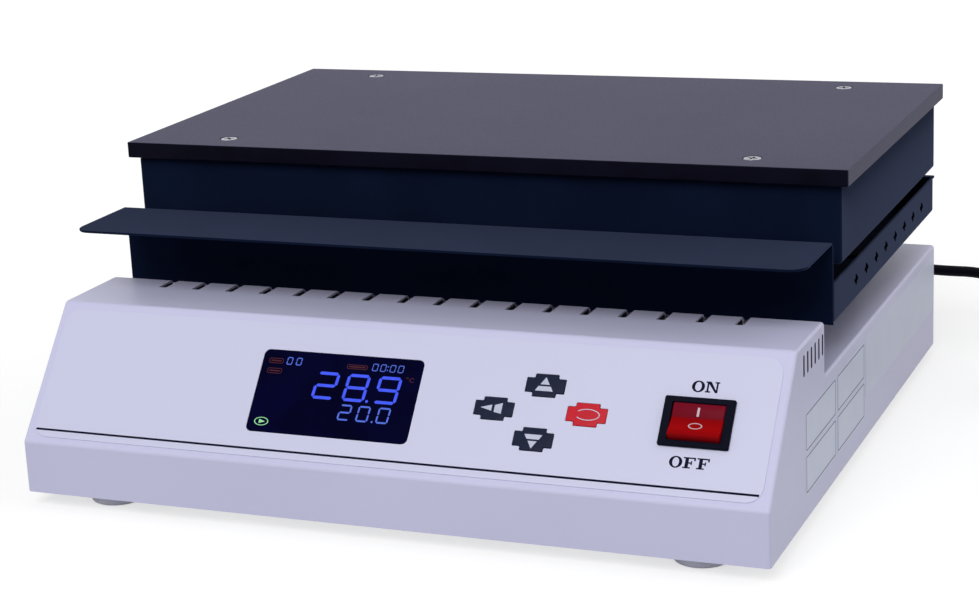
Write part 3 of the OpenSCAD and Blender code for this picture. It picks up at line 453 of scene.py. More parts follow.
tie_stand = (Matrix.Translation(coil_centre + Vector((0, 0, tie_base * mm)))
             @ Matrix.Rotation(tie_turn, 4, "Z") @ Matrix.Translation((tie_reach * mm, 0, 0)))
tie = new_piece("coil_tie", *moved(skin(tie_rings, closed=True), tie_stand), tie_nylon)
smooth(tie, 40.0, even=False)
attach(tie, "housing")
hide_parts("cord_tie")

# Strain relief. A ribbed cone of black rubber is moulded on the lead and
# snaps into the rear wall; its ribs let it bend.


def repeat_tree(name):
    """A tree that sets copies of a shape in a row, each a little smaller or larger."""
    tree = bpy.data.node_groups.new(name, "GeometryNodeTree")
    face = tree.interface
    face.new_socket("Geometry", in_out="INPUT", socket_type="NodeSocketGeometry")
    face.new_socket("Shape", in_out="INPUT", socket_type="NodeSocketObject")
    face.new_socket("Count", in_out="INPUT", socket_type="NodeSocketInt")
    face.new_socket("Start", in_out="INPUT", socket_type="NodeSocketVector")
    face.new_socket("Step", in_out="INPUT", socket_type="NodeSocketVector")
    face.new_socket("Last Size", in_out="INPUT", socket_type="NodeSocketFloat")
    face.new_socket("Finish", in_out="INPUT", socket_type="NodeSocketMaterial")
    face.new_socket("Geometry", in_out="OUTPUT", socket_type="NodeSocketGeometry")
    nodes = tree.nodes
    link = tree.links.new
    given = nodes.new("NodeGroupInput")
    row = nodes.new("GeometryNodeMeshLine")
    row.mode = "OFFSET"
    link(given.outputs["Count"], row.inputs["Count"])
    link(given.outputs["Start"], row.inputs["Start Location"])
    link(given.outputs["Step"], row.inputs["Offset"])
    shape = nodes.new("GeometryNodeObjectInfo")
    link(given.outputs["Shape"], shape.inputs["Object"])
    number = nodes.new("GeometryNodeInputIndex")
    last = nodes.new("ShaderNodeMath")
    last.operation = "SUBTRACT"
    last.inputs[1].default_value = 1.0
    link(given.outputs["Count"], last.inputs[0])
    size = nodes.new("ShaderNodeMapRange")
    size.inputs["To Min"].default_value = 1.0
    link(number.outputs[0], size.inputs["Value"])
    link(last.outputs[0], size.inputs["From Max"])
    link(given.outputs["Last Size"], size.inputs["To Max"])
    put = nodes.new("GeometryNodeInstanceOnPoints")
    link(row.outputs["Mesh"], put.inputs["Points"])
    link(shape.outputs["Geometry"], put.inputs["Instance"])
    link(size.outputs["Result"], put.inputs["Scale"])
    real = nodes.new("GeometryNodeRealizeInstances")
    link(put.outputs["Instances"], real.inputs["Geometry"])
    coat = nodes.new("GeometryNodeSetMaterial")
    link(real.outputs["Geometry"], coat.inputs["Geometry"])
    link(given.outputs["Finish"], coat.inputs["Material"])
    out = nodes.new("NodeGroupOutput")
    link(coat.outputs["Geometry"], out.inputs["Geometry"])
    return tree


row_tree = repeat_tree("row_of_copies")


def row_of(name, shape, count, start, step, stuff, last_size=1.0):
    """A row of copies of a shape as one plain mesh; the single shape is taken away."""
    holder = bpy.data.objects.new(name, bpy.data.meshes.new(name))
    bpy.context.collection.objects.link(holder)
    row = holder.modifiers.new("row", "NODES")
    row.node_group = row_tree
    inputs = {item.name: item.identifier for item in row_tree.interface.items_tree
              if item.in_out == "INPUT"}
    row[inputs["Shape"]] = shape
    row[inputs["Count"]] = count
    row[inputs["Start"]] = start
    row[inputs["Step"]] = step
    row[inputs["Last Size"]] = last_size
    row[inputs["Finish"]] = stuff
    settle(holder)
    bpy.data.objects.remove(shape)
    return holder


def one_piece(name, *pieces):
    """Joins pieces into the first one, with all their finishes kept."""
    work = bmesh.new()
    stuffs = []
    for piece in pieces:
        before = len(work.faces)
        work.from_mesh(piece.data)
        work.faces.ensure_lookup_table()
        slots = []
        for stuff in piece.data.materials:
            if stuff not in stuffs:
                stuffs.append(stuff)
            slots.append(stuffs.index(stuff))
        for face in work.faces[before:]:
            face.material_index = slots[face.material_index] if slots else 0
    shape = bpy.data.meshes.new(name)
    work.to_mesh(shape)
    work.free()
    for stuff in stuffs:
        shape.materials.append(stuff)
    whole = bpy.data.objects.new(name, shape)
    bpy.context.collection.objects.link(whole)
    for piece in pieces:
        bpy.data.objects.remove(piece)
    return whole


relief_long = 30.0
relief_wall = lead_exit - Vector((0, relief_long, 0)) * mm
relief_core = turned([(0, -8.0), (6.6, -8.0), (6.9, -7.6), (6.9, -2.5), (6.9, 0), (8.6, 0), (9.0, 0.4),
                      (9.0, 2.4), (8.4, 3.0), (6.0, 3.0), (4.1, relief_long - 0.6), (3.8, relief_long),
                      (0, relief_long)], 40)
relief_turn = Matrix.Rotation(-pi / 2, 4, "X")
relief = new_piece("relief_core", *moved(relief_core, relief_turn), lead_rubber)
rib_line = [(4.0, -0.9), (6.6, -0.9), (6.9, -0.6), (6.9, 0.6), (6.6, 0.9), (4.0, 0.9)]
rib = new_piece("relief_rib", *turned(rib_line, 40), lead_rubber)
rib.data.transform(relief_turn)
relief_ribs = 8
rib_first = 5.2 * mm
rib_pitch = 3.2 * mm
last_rib_size = 0.68
ribs = row_of("relief_ribs", rib, relief_ribs, (0, rib_first, 0), (0, rib_pitch, 0), lead_rubber,
              last_rib_size)
strain_relief = one_piece("lead_relief", relief, ribs)
strain_relief.data.transform(Matrix.Translation(relief_wall))
smooth(strain_relief, 40.0, even=False)
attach(strain_relief, "housing")
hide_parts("strain_relief")

# Case. One folded steel shell, welded at its corners and painted white: a
# skirt, a slope for the panel, a ledge, a step down and a deck behind. Slots
# at the ledge's rear edge and in the sides below it let warm air out.
case_low, case_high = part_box("case_cover")
case_w = case_high.x - case_low.x
case_d = 362.0 * mm
case_y = case_low.y
case_z = case_low.z
skirt_h = 27.0 * mm
panel_run = 50.5 * mm
ledge_h = 87.5 * mm
pod_d = 101.5 * mm
deck_h = 60.0 * mm
case_wall = 2.5 * mm
ledge_less = 1.3 * mm
case_edge = 3.0 * mm
side_edge = 1.6 * mm
inner_edge = 0.5 * mm
panel_tilt = atan2(ledge_h - skirt_h, panel_run)


def case_line(inward, radius, less):
    """The side view of the case, drawn inward by a length, with its bends rounded.

    The last length is how much less it is drawn in at the ledge and the step behind it."""
    deep = -60.0 * mm
    corners = [Vector((0, deep)), Vector((0, skirt_h)), Vector((panel_run, ledge_h)),
               Vector((pod_d, ledge_h)), Vector((pod_d, deck_h)), Vector((case_d, deck_h)),
               Vector((case_d, deep))]
    depths = [inward, inward, inward - less, inward - less, inward, inward]
    line = []
    for i in range(1, len(corners) - 1):
        before, here, after = corners[i - 1], corners[i], corners[i + 1]
        a, b = depths[i - 1], depths[i]
        come = (here - before).normalized()
        go = (after - here).normalized()
        side_in = Vector((come.y, -come.x))
        side_out = Vector((go.y, -go.x))
        c = side_in.dot(side_out)
        spot = here + (side_in * (a - b * c) + side_out * (b - a * c)) / (1 - c * c)
        turn = come.angle_signed(go)
        bend = radius - max(a, b) if turn > 0 else radius + min(a, b)
        bend = max(bend, 0.15 * mm)
        back = bend * tan(abs(turn) / 2)
        middle = spot - come * back + (side_in if turn > 0 else -side_in) * bend
        from_way = (spot - come * back) - middle
        for k in range(7):
            swung = -turn * k / 6
            line.append(middle + Vector((from_way.x * cos(swung) - from_way.y * sin(swung),
                                         from_way.x * sin(swung) + from_way.y * cos(swung))))
    line.insert(0, Vector((line[0].x, 0.0)))
    line.append(Vector((line[-1].x, 0.0)))
    return line


def case_rings(inward, radius, half, less=0.0):
    """Rings of the case's side view from one side to the other, eased at both ends."""
    rings = []
    for side in (-1, 1):
        for k in range(6):
            a = pi / 2 * (k if side < 0 else 5 - k) / 5
            ease = radius * (1 - sin(a))
            x = side * (half - radius * (1 - cos(a)))
            rings.append([Vector((x, case_y + p.x, case_z + p.y))
                          for p in case_line(inward + ease, case_edge, less)])
    return rings


def open_skin(rings):
    """A skin over rings, without the faces that would close it from below."""
    points, faces = skin(rings)
    span = len(rings[0])
    below = {0, span - 1}
    return points, [f for f in faces if len(f) != 4 or {f[0] % span, f[1] % span} != below]


outer = case_rings(0.0, side_edge, case_w / 2)
inner = case_rings(case_wall, inner_edge, case_w / 2 - case_wall, ledge_less)
outer_points, outer_faces = open_skin(outer)
inner_points, inner_faces = open_skin(inner)
count = len(outer[0])
shift = len(outer_points)
case_faces = outer_faces + [tuple(shift + i for i in reversed(f)) for f in inner_faces]
rim_out = [i * count for i in range(len(outer))]
rim_out += [i * count + count - 1 for i in reversed(range(len(outer)))]
rim_in = [shift + i for i in rim_out]
for k in range(len(rim_out)):
    n = (k + 1) % len(rim_out)
    case_faces.append((rim_out[k], rim_out[n], rim_in[n], rim_in[k]))
case_paint = finish_of("white_paint", (0.59, 0.59, 0.80), 0.40, gloss=0.25, vary=0.018, patch=9.0,
                       grain=620.0, relief=0.000035, rough_vary=0.04)
# The inside takes a grey primer. The side slots' walls take it too, as painted shade that makes the slots
# read dark.
primer_and_slot_shade = finish_of("grey_primer", (0.085, 0.080, 0.115), 0.7, gloss=0.10, vary=0.15, patch=30.0,
                        grain=500.0, relief=0.00004)
case = new_piece("case_shell", outer_points + inner_points, case_faces, case_paint, primer_and_slot_shade)
within = Vector((0, case_y + 75 * mm, case_z + 40 * mm))
for face in case.data.polygons:
    if face.normal.dot(face.center - within) < 0:
        face.material_index = 1


def panel_frame(u, v, n=0.0):
    """The matrix of a place on the slope: across, up the slope and out of it, in mm."""
    return (Matrix.Translation((0, case_y, case_z + skirt_h)) @ Matrix.Rotation(panel_tilt, 4, "X")
            @ Matrix.Translation(Vector((u, v, n)) * mm))


def cross_line(w, h, bar_w, bar_h, r, steps=3):
    """The outline of a cross of two bars, w by h, with its corners eased."""
    corners = [(w / 2, bar_h / 2), (bar_w / 2, bar_h / 2), (bar_w / 2, h / 2)]
    corners += [(-x, y) for x, y in reversed(corners)]
    corners += [(-x, -y) for x, y in corners]
    corners = [Vector((x, y, 0)) for x, y in corners]
    line = []
    for i in range(len(corners)):
        a, b, c = corners[i - 1], corners[i], corners[(i + 1) % len(corners)]
        come = (a - b).normalized() * r
        go = (c - b).normalized() * r
        for k in range(steps + 1):
            t = k / steps
            line.append(b + come * (1 - t) ** 2 + go * t ** 2)
    return line


def prism(line, low, high):
    """A straight solid between two heights over a flat outline."""
    return skin([[p + Vector((0, 0, low)) for p in line], [p + Vector((0, 0, high)) for p in line]])


def cut_out(piece, *cutters):
    """Cuts other pieces out of a piece and takes them away."""
    for cutter in cutters:
        cut = piece.modifiers.new("cut", "BOOLEAN")
        cut.operation = "DIFFERENCE"
        cut.solver = "EXACT"
        cut.material_mode = "TRANSFER"
        cut.object = cutter
        settle(piece)
    for cutter in cutters:
        bpy.data.objects.remove(cutter)


key_places = {"key_up": (78.0, 52.1), "key_left": (54.6, 38.5), "key_down": (77.3, 24.7),
              "key_set": (101.1, 39.1)}
key_hole = (20.1, 11.9, 12.0, 7.7)
window_at = (-29.2, 38.3)
window_hole = (86.9, 43.9, 3.1)
switch_at = (154.8, 39.4)
switch_hole = (30.4, 22.8, 0.3)
cut_low = -4 * mm
cut_high = 2 * mm
openings = []
for place, hole in [(window_at, window_hole), (switch_at, switch_hole)]:
    openings.append(moved(prism(oblong(*[s * mm for s in hole]), cut_low, cut_high), panel_frame(*place)))
for place in key_places.values():
    hole = prism(cross_line(*[s * mm for s in key_hole], 0.6 * mm), cut_low, cut_high)
    openings.append(moved(hole, panel_frame(*place)))
panel_cutter = new_piece("panel_cutter", *joined(*openings), case_paint)

ledge_slots = 17
ledge_slot_pitch = 19.7 * mm
ledge_slot_w = 4.4 * mm
ledge_slot_run = 16.0 * mm
ledge_slot_past = 12.0 * mm
ledge_slot_drop = 9.0 * mm
slot_line = oblong(ledge_slot_w, ledge_slot_run + ledge_slot_past, 1.0 * mm)
slot_y = pod_d + (ledge_slot_past - ledge_slot_run) / 2
slot_at = Matrix.Translation((0, case_y + slot_y, case_z + ledge_h - ledge_slot_drop))
slot = new_piece("ledge_slot", *moved(prism(slot_line, 0, 24.0 * mm), slot_at), case_paint)
first_slot = -(ledge_slots - 1) / 2 * ledge_slot_pitch
ledge_cutter = row_of("ledge_cutter", slot, ledge_slots, (first_slot, 0, 0), (ledge_slot_pitch, 0, 0),
                      case_paint)
side_slots = 6
side_slot_pitch = 7.0 * mm
side_slot_w = 2.6 * mm
side_slot_h = 10.5 * mm
side_slot_top = 5.5 * mm
side_slot_back = 4.5 * mm
slot_at = (Matrix.Translation((0, case_y + pod_d - side_slot_back,
                               case_z + ledge_h - side_slot_top - side_slot_h / 2))
           @ Matrix.Rotation(pi / 2, 4, "Y") @ Matrix.Rotation(pi / 2, 4, "Z"))
slot_line = oblong(side_slot_w, side_slot_h, 1.1 * mm)
# The walls of the side slots take the dark primer: painted shade, so the slots read dark.
slot = new_piece("side_slot", *moved(prism(slot_line, -case_w, case_w), slot_at), primer_and_slot_shade)
side_cutter = row_of("side_cutter", slot, side_slots, (0, 0, 0), (0, -side_slot_pitch, 0), primer_and_slot_shade)
post_places = {"deck_post_fl": (-150, 176), "deck_post_fr": (150, 176), "deck_post_rl": (-150, 320),
               "deck_post_rr": (150, 320)}
post_hole_r = 2.2
conduit_at = (168, 248)
conduit_hole_r = 8.2
fuse_at = (95, 34)
fuse_hole_r = 6.4
relief_hole_at = (150, 32)
relief_hole_r = 7.2
hole_deep = 6 * mm
holes = []
deck_holes = [(place, post_hole_r) for place in post_places.values()]
deck_holes.append((conduit_at, conduit_hole_r))
for (x, y), r in deck_holes:
    holes.append(moved(prism(round_of(r * mm, 32), -hole_deep, hole_deep),
                       Matrix.Translation((x * mm, case_y + y * mm, case_z + deck_h))))
for (x, z), r in [(fuse_at, fuse_hole_r), (relief_hole_at, relief_hole_r)]:
    holes.append(moved(prism(round_of(r * mm, 32), -hole_deep, hole_deep),
                       Matrix.Translation((x * mm, case_y + case_d, case_z + z * mm))
                       @ Matrix.Rotation(pi / 2, 4, "X")))
hole_cutter = new_piece("hole_cutter", *joined(*holes), case_paint)
cut_out(case, panel_cutter, ledge_cutter, side_cutter, hole_cutter)
ease = case.modifiers.new("eased_cuts", "BEVEL")
ease.width = 0.25 * mm
ease.segments = 2
ease.limit_method = "ANGLE"
ease.angle_limit = radians(55)
settle(case)
smooth(case, 35.0)
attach(case, "housing")
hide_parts("case_cover")

# Panel film. A thin printed polyester sheet is stuck on the slope; it is cut
# out for the window, the keys and the switch. Its ink is a raised dark print.
film_paint = finish_of("panel_film", (0.605, 0.615, 0.805), 0.34, gloss=0.28, vary=0.012, patch=7.0,
                       grain=1500.0, relief=0.000008, rough_vary=0.03)
film_w = 382 * mm
film_h = 71 * mm
film_t = 0.5
film_middle = 39
film = new_piece("panel_film", *moved(slab(film_w, film_h, film_t * mm, 8 * mm, 0.12 * mm, 8, 0.0),
                                      panel_frame(0, film_middle)), film_paint)
cut_out(film, new_piece("film_cutter", *joined(*openings), film_paint))
smooth(film, 35.0)
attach(film, "housing")
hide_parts("front_overlay")

ink = finish_of("panel_ink", (0.002, 0.002, 0.018), 0.5, gloss=0.06, vary=0.2, patch=900.0,
                grain=3000.0, relief=0.000003)
print_t = 0.04


def inked(line, u=0.0, v=0.0, n=film_t, t=print_t):
    """A flat print of an outline given in mm, laid on the panel."""
    flat = [Vector((p[0], p[1], 0.0)) * mm for p in line]
    return moved(prism(flat, 0.0, t * mm), panel_frame(u, v, n))


def bar(x0, y0, x1, y1):
    """A level rectangle by two of its corners."""
    return [(x0, y0), (x1, y0), (x1, y1), (x0, y1)]


def oval_of(half_w, half_h, sides, h):
    """An oval of points about the Z axis, its sizes given in mm."""
    return [Vector((half_w * cos(2 * pi * k / sides), half_h * sin(2 * pi * k / sides), h)) * mm
            for k in range(sides)]


def inked_ring(u, v, half_w, half_h, stroke_w, stroke_h, t=print_t):
    """A flat printed oval ring with its own stroke across and upward."""
    loops = []
    for less, up in [(0, 0), (0, t), (1, t), (1, 0)]:
        loops.append(oval_of(half_w - less * stroke_w, half_h - less * stroke_h, 48, up))
    return moved(skin(loops, closed=True), panel_frame(u, v, film_t))


def letter(sign, u, v, w, h):
    """A capital with feet, w by h, as printed parts: O, N or F."""
    if sign == "O":
        return [inked_ring(u + w / 2, v + h / 2, w / 2, h / 2, w * 0.25, h * 0.11)]
    foot = h * 0.125
    if sign == "N":
        shapes = [bar(w * 0.10, 0, w * 0.23, h), bar(w * 0.78, h * 0.02, w * 0.91, h),
                  bar(0, 0, w * 0.38, foot), bar(0, h - foot, w * 0.3, h), bar(w * 0.66, h - foot, w, h),
                  [(w * 0.08, h), (w * 0.36, h), (w * 0.91, 0), (w * 0.74, 0)]]
    else:
        shapes = [bar(w * 0.16, 0, w * 0.43, h), bar(0, 0, w * 0.60, foot),
                  bar(0, h - foot, w * 0.96, h), bar(w * 0.84, h * 0.70, w * 0.96, h),
                  bar(w * 0.38, h * 0.44, w * 0.68, h * 0.56),
                  bar(w * 0.61, h * 0.33, w * 0.71, h * 0.67)]
    return [inked(shape, u, v, t=print_t + 0.002 * i) for i, shape in enumerate(shapes)]


foot_rule = bar(-189.6, 6.85, 189.4, 7.95)
prints = [inked(foot_rule)]
for sign, u, v, w, h in [("O", 149.1, 54.7, 6.2, 5.8), ("N", 155.7, 54.9, 6.5, 5.5),
                         ("O", 144.9, 17.1, 6.3, 5.8), ("F", 151.5, 17.3, 6.1, 5.4),
                         ("F", 158.1, 17.3, 6.1, 5.4)]:
    prints += letter(sign, u, v, w, h)
panel_print = new_piece("panel_print", *joined(*prints), ink)
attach(panel_print, "housing")

# Display. A smoked window of clear plastic lies flush in the film, and a
# backlit module behind it shows blue figures of seven bars each.
smoked = finish_of("smoked_window", (0.0006, 0.0007, 0.018), 0.12, gloss=0.015, vary=0.4, patch=45.0,
                   grain=90.0, relief=0.0, rough_vary=0.02)
window_w = 86.5 * mm
window_h = 43.5 * mm
window_t = 3.0
window = new_piece("display_window",
                   *moved(slab(window_w, window_h, window_t * mm, 3.2 * mm, 0.15 * mm, 8, 0.0),
                          panel_frame(*window_at, film_t - window_t)), smoked)
smooth(window, 35.0)
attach(window, "housing")
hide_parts("display_window")


def lit(name, colour, strength):
    """A glowing print: its light is a little uneven, as a backlit segment's is."""
    stuff = finish_of(name, [c * 0.2 for c in colour], 0.4, gloss=0.1, vary=0.1, patch=400.0,
                      grain=900.0, relief=0.0)
    nodes = stuff.node_tree.nodes
    shader = nodes["Principled BSDF"]
    glow = nodes.new("ShaderNodeValToRGB")
    glow.color_ramp.elements[0].position = 0.25
    glow.color_ramp.elements[1].position = 0.75
    glow.color_ramp.elements[0].color = [c * 0.82 for c in colour] + [1.0]
    glow.color_ramp.elements[1].color = [min(c * 1.1, 1.0) for c in colour] + [1.0]
    stuff.node_tree.links.new(nodes["drift"].outputs["Fac"], glow.inputs["Fac"])
    stuff.node_tree.links.new(glow.outputs["Color"], shader.inputs["Emission Color"])
    shader.inputs["Emission Strength"].default_value = strength
    return stuff


glow_t = 0.02
bars_of = {"0": "abcdef", "1": "bc", "2": "abged", "8": "abcdefg", "9": "abcdfg"}


def figure(sign, u, v, w, h, stroke):
    """One figure of seven bars as printed parts, leaning a little to the right."""
    lean = 0.07
    gap = stroke * 0.12
    half = stroke / 2
    left, right = half, w - half
    low, mid, high = half, h / 2, h - half
    ends = {"a": (left, high, right, high), "g": (left, mid, right, mid), "d": (left, low, right, low),
            "f": (left, mid, left, high), "b": (right, mid, right, high),
            "e": (left, low, left, mid), "c": (right, low, right, mid)}
    parts = []
    for name in bars_of[sign]:
        x0, y0, x1, y1 = ends[name]
        if y0 == y1:
            line = [(x0 + gap, y0), (x0 + gap + half, y0 + half), (x1 - gap - half, y0 + half),
                    (x1 - gap, y0), (x1 - gap - half, y0 - half), (x0 + gap + half, y0 - half)]
        else:
            line = [(x0, y0 + gap), (x0 + half, y0 + gap + half), (x0 + half, y1 - gap - half),
                    (x0, y1 - gap), (x0 - half, y1 - gap - half), (x0 - half, y0 + gap + half)]
        line = [(x + lean * y, y) for x, y in line]
        parts.append(inked(line[::-1], u, v, t=glow_t))
    return parts


def dot(u, v, size):
    """A small round point of the display."""
    return inked(round_of(size, 12), u, v, t=glow_t)


blue_light = lit("figure_blue", (0.048, 0.088, 0.84), 1.0)
pale_light = lit("figure_pale_blue", (0.085, 0.16, 0.74), 0.85)
green_light = lit("mark_green", (0.30, 0.72, 0.35), 0.9)
dim_light = lit("legend_dim_red", (0.060, 0.007, 0.012), 0.9)
large = []
for sign, u in [("2", -41.9), ("8", -25.4), ("9", -8.6)]:
    large += figure(sign, u, 36.0, 12.2, 14.4, 1.55)
large.append(dot(-11.6, 36.7, 0.75))
small = []
for sign, u in [("2", -25.3), ("0", -15.4), ("0", -4.7)]:
    small += figure(sign, u, 25.9, 6.5, 8.3, 0.85)
small.append(dot(-6.4, 26.4, 0.5))
for sign, u in [("0", -59.5), ("0", -54.4)]:
    small += figure(sign, u, 52.6, 3.1, 4.1, 0.5)
for sign, u in [("0", -12.9), ("0", -8.6), ("0", -3.5), ("0", 0.8)]:
    small += figure(sign, u, 52.7, 3.0, 3.9, 0.42)
small += [dot(-4.6, 53.6, 0.32), dot(-4.5, 55.5, 0.32)]
run_at = (-65.05, 21.95)
marks = [inked_ring(*run_at, 3.85, 2.2, 0.5, 0.34, t=glow_t),
         inked([(-1.3, -1.1), (2.1, 0.0), (-1.3, 1.1)], *run_at, t=glow_t)]
legends = []
legend_line = 0.35
legend_round = 1.0
bar_in = 1.2
for u0, v0, u1, v1 in [(-69.2, 52.9, -61.2, 55.7), (-68.9, 47.5, -60.8, 50.4),
                       (-26.4, 52.9, -15.2, 55.3)]:
    u = (u0 + u1) / 2
    v = (v0 + v1) / 2
    loops = []
    for less, up in [(0, 0), (0, glow_t), (legend_line, glow_t), (legend_line, 0)]:
        loops.append([p + Vector((0, 0, up * mm)) for p in
                      oblong((u1 - u0 - 2 * less) * mm, (v1 - v0 - 2 * less) * mm,
                             (legend_round - less) * mm, 4)])
    legends.append(moved(skin(loops, closed=True), panel_frame(u, v, film_t)))
    legends.append(inked(bar(u0 + bar_in, v - legend_line, u1 - bar_in, v + legend_line), t=glow_t))
legends.append(inked_ring(6.9, 50.4, 0.6, 0.45, 0.25, 0.2, t=glow_t))
arc = [(1.5 * cos(radians(a)), 1.15 * sin(radians(a))) for a in range(45, 316, 15)]
arc += [(1.1 * cos(radians(a)), 0.8 * sin(radians(a))) for a in range(315, 44, -15)]
legends.append(inked(arc, 9.6, 49.4, t=glow_t))
for name, parts, stuff in [("display_large_figures", large, blue_light),
                           ("display_small_figures", small, pale_light),
                           ("display_run_mark", marks, green_light),
                           ("display_legends", legends, dim_light)]:
    glow = new_piece(name, *joined(*parts), stuff)
    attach(glow, "housing")

# Keys. Four moulded crosses stand just proud of the film on their own posts;
# three are navy with printed arrows and one is red with an open printed ring.
navy = finish_of("key_navy", (0.009, 0.013, 0.036), 0.42, gloss=0.08, vary=0.15, patch=220.0,
                 grain=2200.0, relief=0.000006)
navy_dish = finish_of("key_navy_dish", (0.010, 0.014, 0.038), 0.5, gloss=0.08, vary=0.12, patch=220.0,
                      grain=2200.0, relief=0.000006)
key_red = finish_of("key_red", (0.58, 0.015, 0.030), 0.40, gloss=0.12, vary=0.06, patch=200.0,
                    grain=2200.0, relief=0.000006)
key_red_dish = finish_of("key_red_dish", (0.55, 0.015, 0.030), 0.42, gloss=0.12, vary=0.06,
                         patch=200.0, grain=2200.0, relief=0.000006)
key_white = finish_of("key_print", (0.52, 0.54, 0.68), 0.5, gloss=0.3, vary=0.05, patch=300.0,
                      grain=3000.0, relief=0.000003)
key_w = 19.6
key_h = 11.4
key_bar_w = 11.4
key_bar_h = 7.2
key_round = 0.5
key_edge = 0.3
key_top = 0.8
key_low = -3.6
dish_half_w = 6.6
dish_half_h = 4.9
dish_steps = [(0.0, 0.78), (0.0, 0.84), (0.25, 0.87)]
key_print_n = 0.865
key_print_t = 0.02


def key_line(less, up):
    """The outline of a key's cross at a height, drawn inward by a length, in mm."""
    line = cross_line((key_w - 2 * less) * mm, (key_h - 2 * less) * mm, (key_bar_w - 2 * less) * mm,
                      (key_bar_h - 2 * less) * mm, (key_round - less) * mm)
    return [p + Vector((0, 0, up * mm)) for p in line]


arrow_up = [[(0.0, 3.9), (-2.35, 0.1), (2.35, 0.1)],
            [(-3.1, -0.8), (3.1, -0.8), (4.5, -3.2), (-4.5, -3.2)]]
arrow_left = [[(-6.6, -0.1), (-0.9, 1.6), (-0.9, -1.5)],
              [(0.5, 1.5), (0.5, -2.0), (4.3, -2.7), (4.3, 2.8)]]
key_arrows = {"key_up": (arrow_up, 77.7, 52.4), "key_left": (arrow_left, 54.4, 38.7),
              "key_down": ([[(x, -y) for x, y in shape] for shape in arrow_up], 77.2, 23.9)}
for name, place in key_places.items():
    cap = navy if name != "key_set" else key_red
    dish = navy_dish if name != "key_set" else key_red_dish
    loops = [key_line(0.0, key_low)]
    for k in range(5):
        a = pi / 2 * k / 4
        loops.append(key_line(key_edge * (1 - cos(a)), key_top - key_edge * (1 - sin(a))))
    flange_line = cross_line(22.4 * mm, 13.8 * mm, 12.6 * mm, 8.8 * mm, 0.5 * mm)
    flange = prism(flange_line, key_low * mm, -2.6 * mm)
    post = prism(round_of(2.2 * mm, 24), -5.2 * mm, -3.5 * mm)
    stand = panel_frame(*place)
    body = new_piece(name + "_cap", *moved(joined(skin(loops), flange, post), stand), cap)
    disc = [oval_of(dish_half_w - less, dish_half_h - less, 48, up) for less, up in dish_steps]
    middle = new_piece(name + "_dish", *moved(skin(disc), stand), dish)
    shapes = []
    if name == "key_set":
        arc = [(6.1 * cos(radians(a)), 2.9 * sin(radians(a))) for a in range(-148, 149, 8)]
        arc += [(5.6 * cos(radians(a)), 2.5 * sin(radians(a))) for a in range(148, -149, -8)]
        shapes.append(inked(arc, 101.6, 39.1, n=key_print_n, t=key_print_t))
    else:
        arrow, u, v = key_arrows[name]
        for shape in arrow:
            shapes.append(inked(shape, u, v, n=key_print_n, t=key_print_t))
    mark = new_piece(name + "_mark", *joined(*shapes), key_white)
    smooth(body, 40.0, even=False)
    smooth(middle, 40.0, even=False)
    key = one_piece(name, body, middle, mark)
    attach(key, name)
    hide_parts(name)

# Power switch. A black nylon frame snaps into the slope, and a red rocker of
# clear-tinted plastic turns on pins in its well; a lamp inside lights it. Its
# red is lighter and darker in bands by height, as painted light and shade.
switch_black = finish_of("switch_nylon", (0.0022, 0.0030, 0.010), 0.42, gloss=0.03, vary=0.15,
                         patch=160.0, grain=1800.0, relief=0.000008)
frame_loops = []
for w, h, n, r in [(30, 22.4, -20, 0.6), (30, 22.4, 0.5, 0.6), (33.6, 24.2, 0.5, 0.7),
                   (34, 24.6, 0.8, 0.9), (34, 24.6, 1.7, 0.9), (33.7, 24.3, 2.15, 0.9),
                   (33.1, 23.7, 2.4, 0.8), (26.6, 19.6, 2.4, 0.8), (26.0, 19.0, 2.25, 0.7),
                   (25.7, 18.7, 1.9, 0.6), (25.6, 20.1, -1.8, 0.5), (25.6, 20.1, -12.2, 0.5)]:
    frame_loops.append([p + Vector((0, 0, n * mm)) for p in oblong(w * mm, h * mm, r * mm, 5)])
switch = new_piece("switch_frame", *moved(skin(frame_loops), panel_frame(*switch_at)), switch_black)
smooth(switch, 32.0)
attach(switch, "housing")
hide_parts("switch_body")

rocker_red = finish_of("rocker_red", (0.3, 0.01, 0.02), 0.26, gloss=0.03, vary=0.1, patch=120.0,
                       grain=1500.0, relief=0.000006)
red_nodes = rocker_red.node_tree.nodes
red_link = rocker_red.node_tree.links.new
red_shader = red_nodes["Principled BSDF"]
red_where = red_nodes["Texture Coordinate"]
red_parts = red_nodes.new("ShaderNodeSeparateXYZ")
red_link(red_where.outputs["Object"], red_parts.inputs[0])
red_height = red_nodes.new("ShaderNodeMapRange")
fold_z = (panel_frame(*switch_at, 3.0) @ Vector()).z
red_half = 7.5 * mm
red_height.inputs["From Min"].default_value = fold_z - red_half
red_height.inputs["From Max"].default_value = fold_z + red_half
red_link(red_parts.outputs["Z"], red_height.inputs["Value"])
# Bands of lighter and darker red by height are painted light and shade; the glow takes the same bands.
red_painted_light = red_nodes.new("ShaderNodeValToRGB")
red_light_ramp = red_painted_light.color_ramp
red_light_ramp.elements[0].color = (0.085, 0.0005, 0.002, 1.0)
red_light_ramp.elements[1].color = (0.150, 0.004, 0.016, 1.0)
for spot, tone in [(0.12, (0.17, 0.0006, 0.002, 1.0)), (0.32, (0.27, 0.0006, 0.0015, 1.0)),
                   (0.52, (0.20, 0.0006, 0.002, 1.0)), (0.58, (0.125, 0.003, 0.010, 1.0))]:
    step = red_light_ramp.elements.new(spot)
    step.color = tone
red_link(red_height.outputs["Result"], red_painted_light.inputs["Fac"])
red_link(red_painted_light.outputs["Color"], red_shader.inputs["Base Color"])
red_link(red_painted_light.outputs["Color"], red_shader.inputs["Emission Color"])
red_shader.inputs["Emission Strength"].default_value = 0.25
fold_n = 3.6
face_run = 7.9
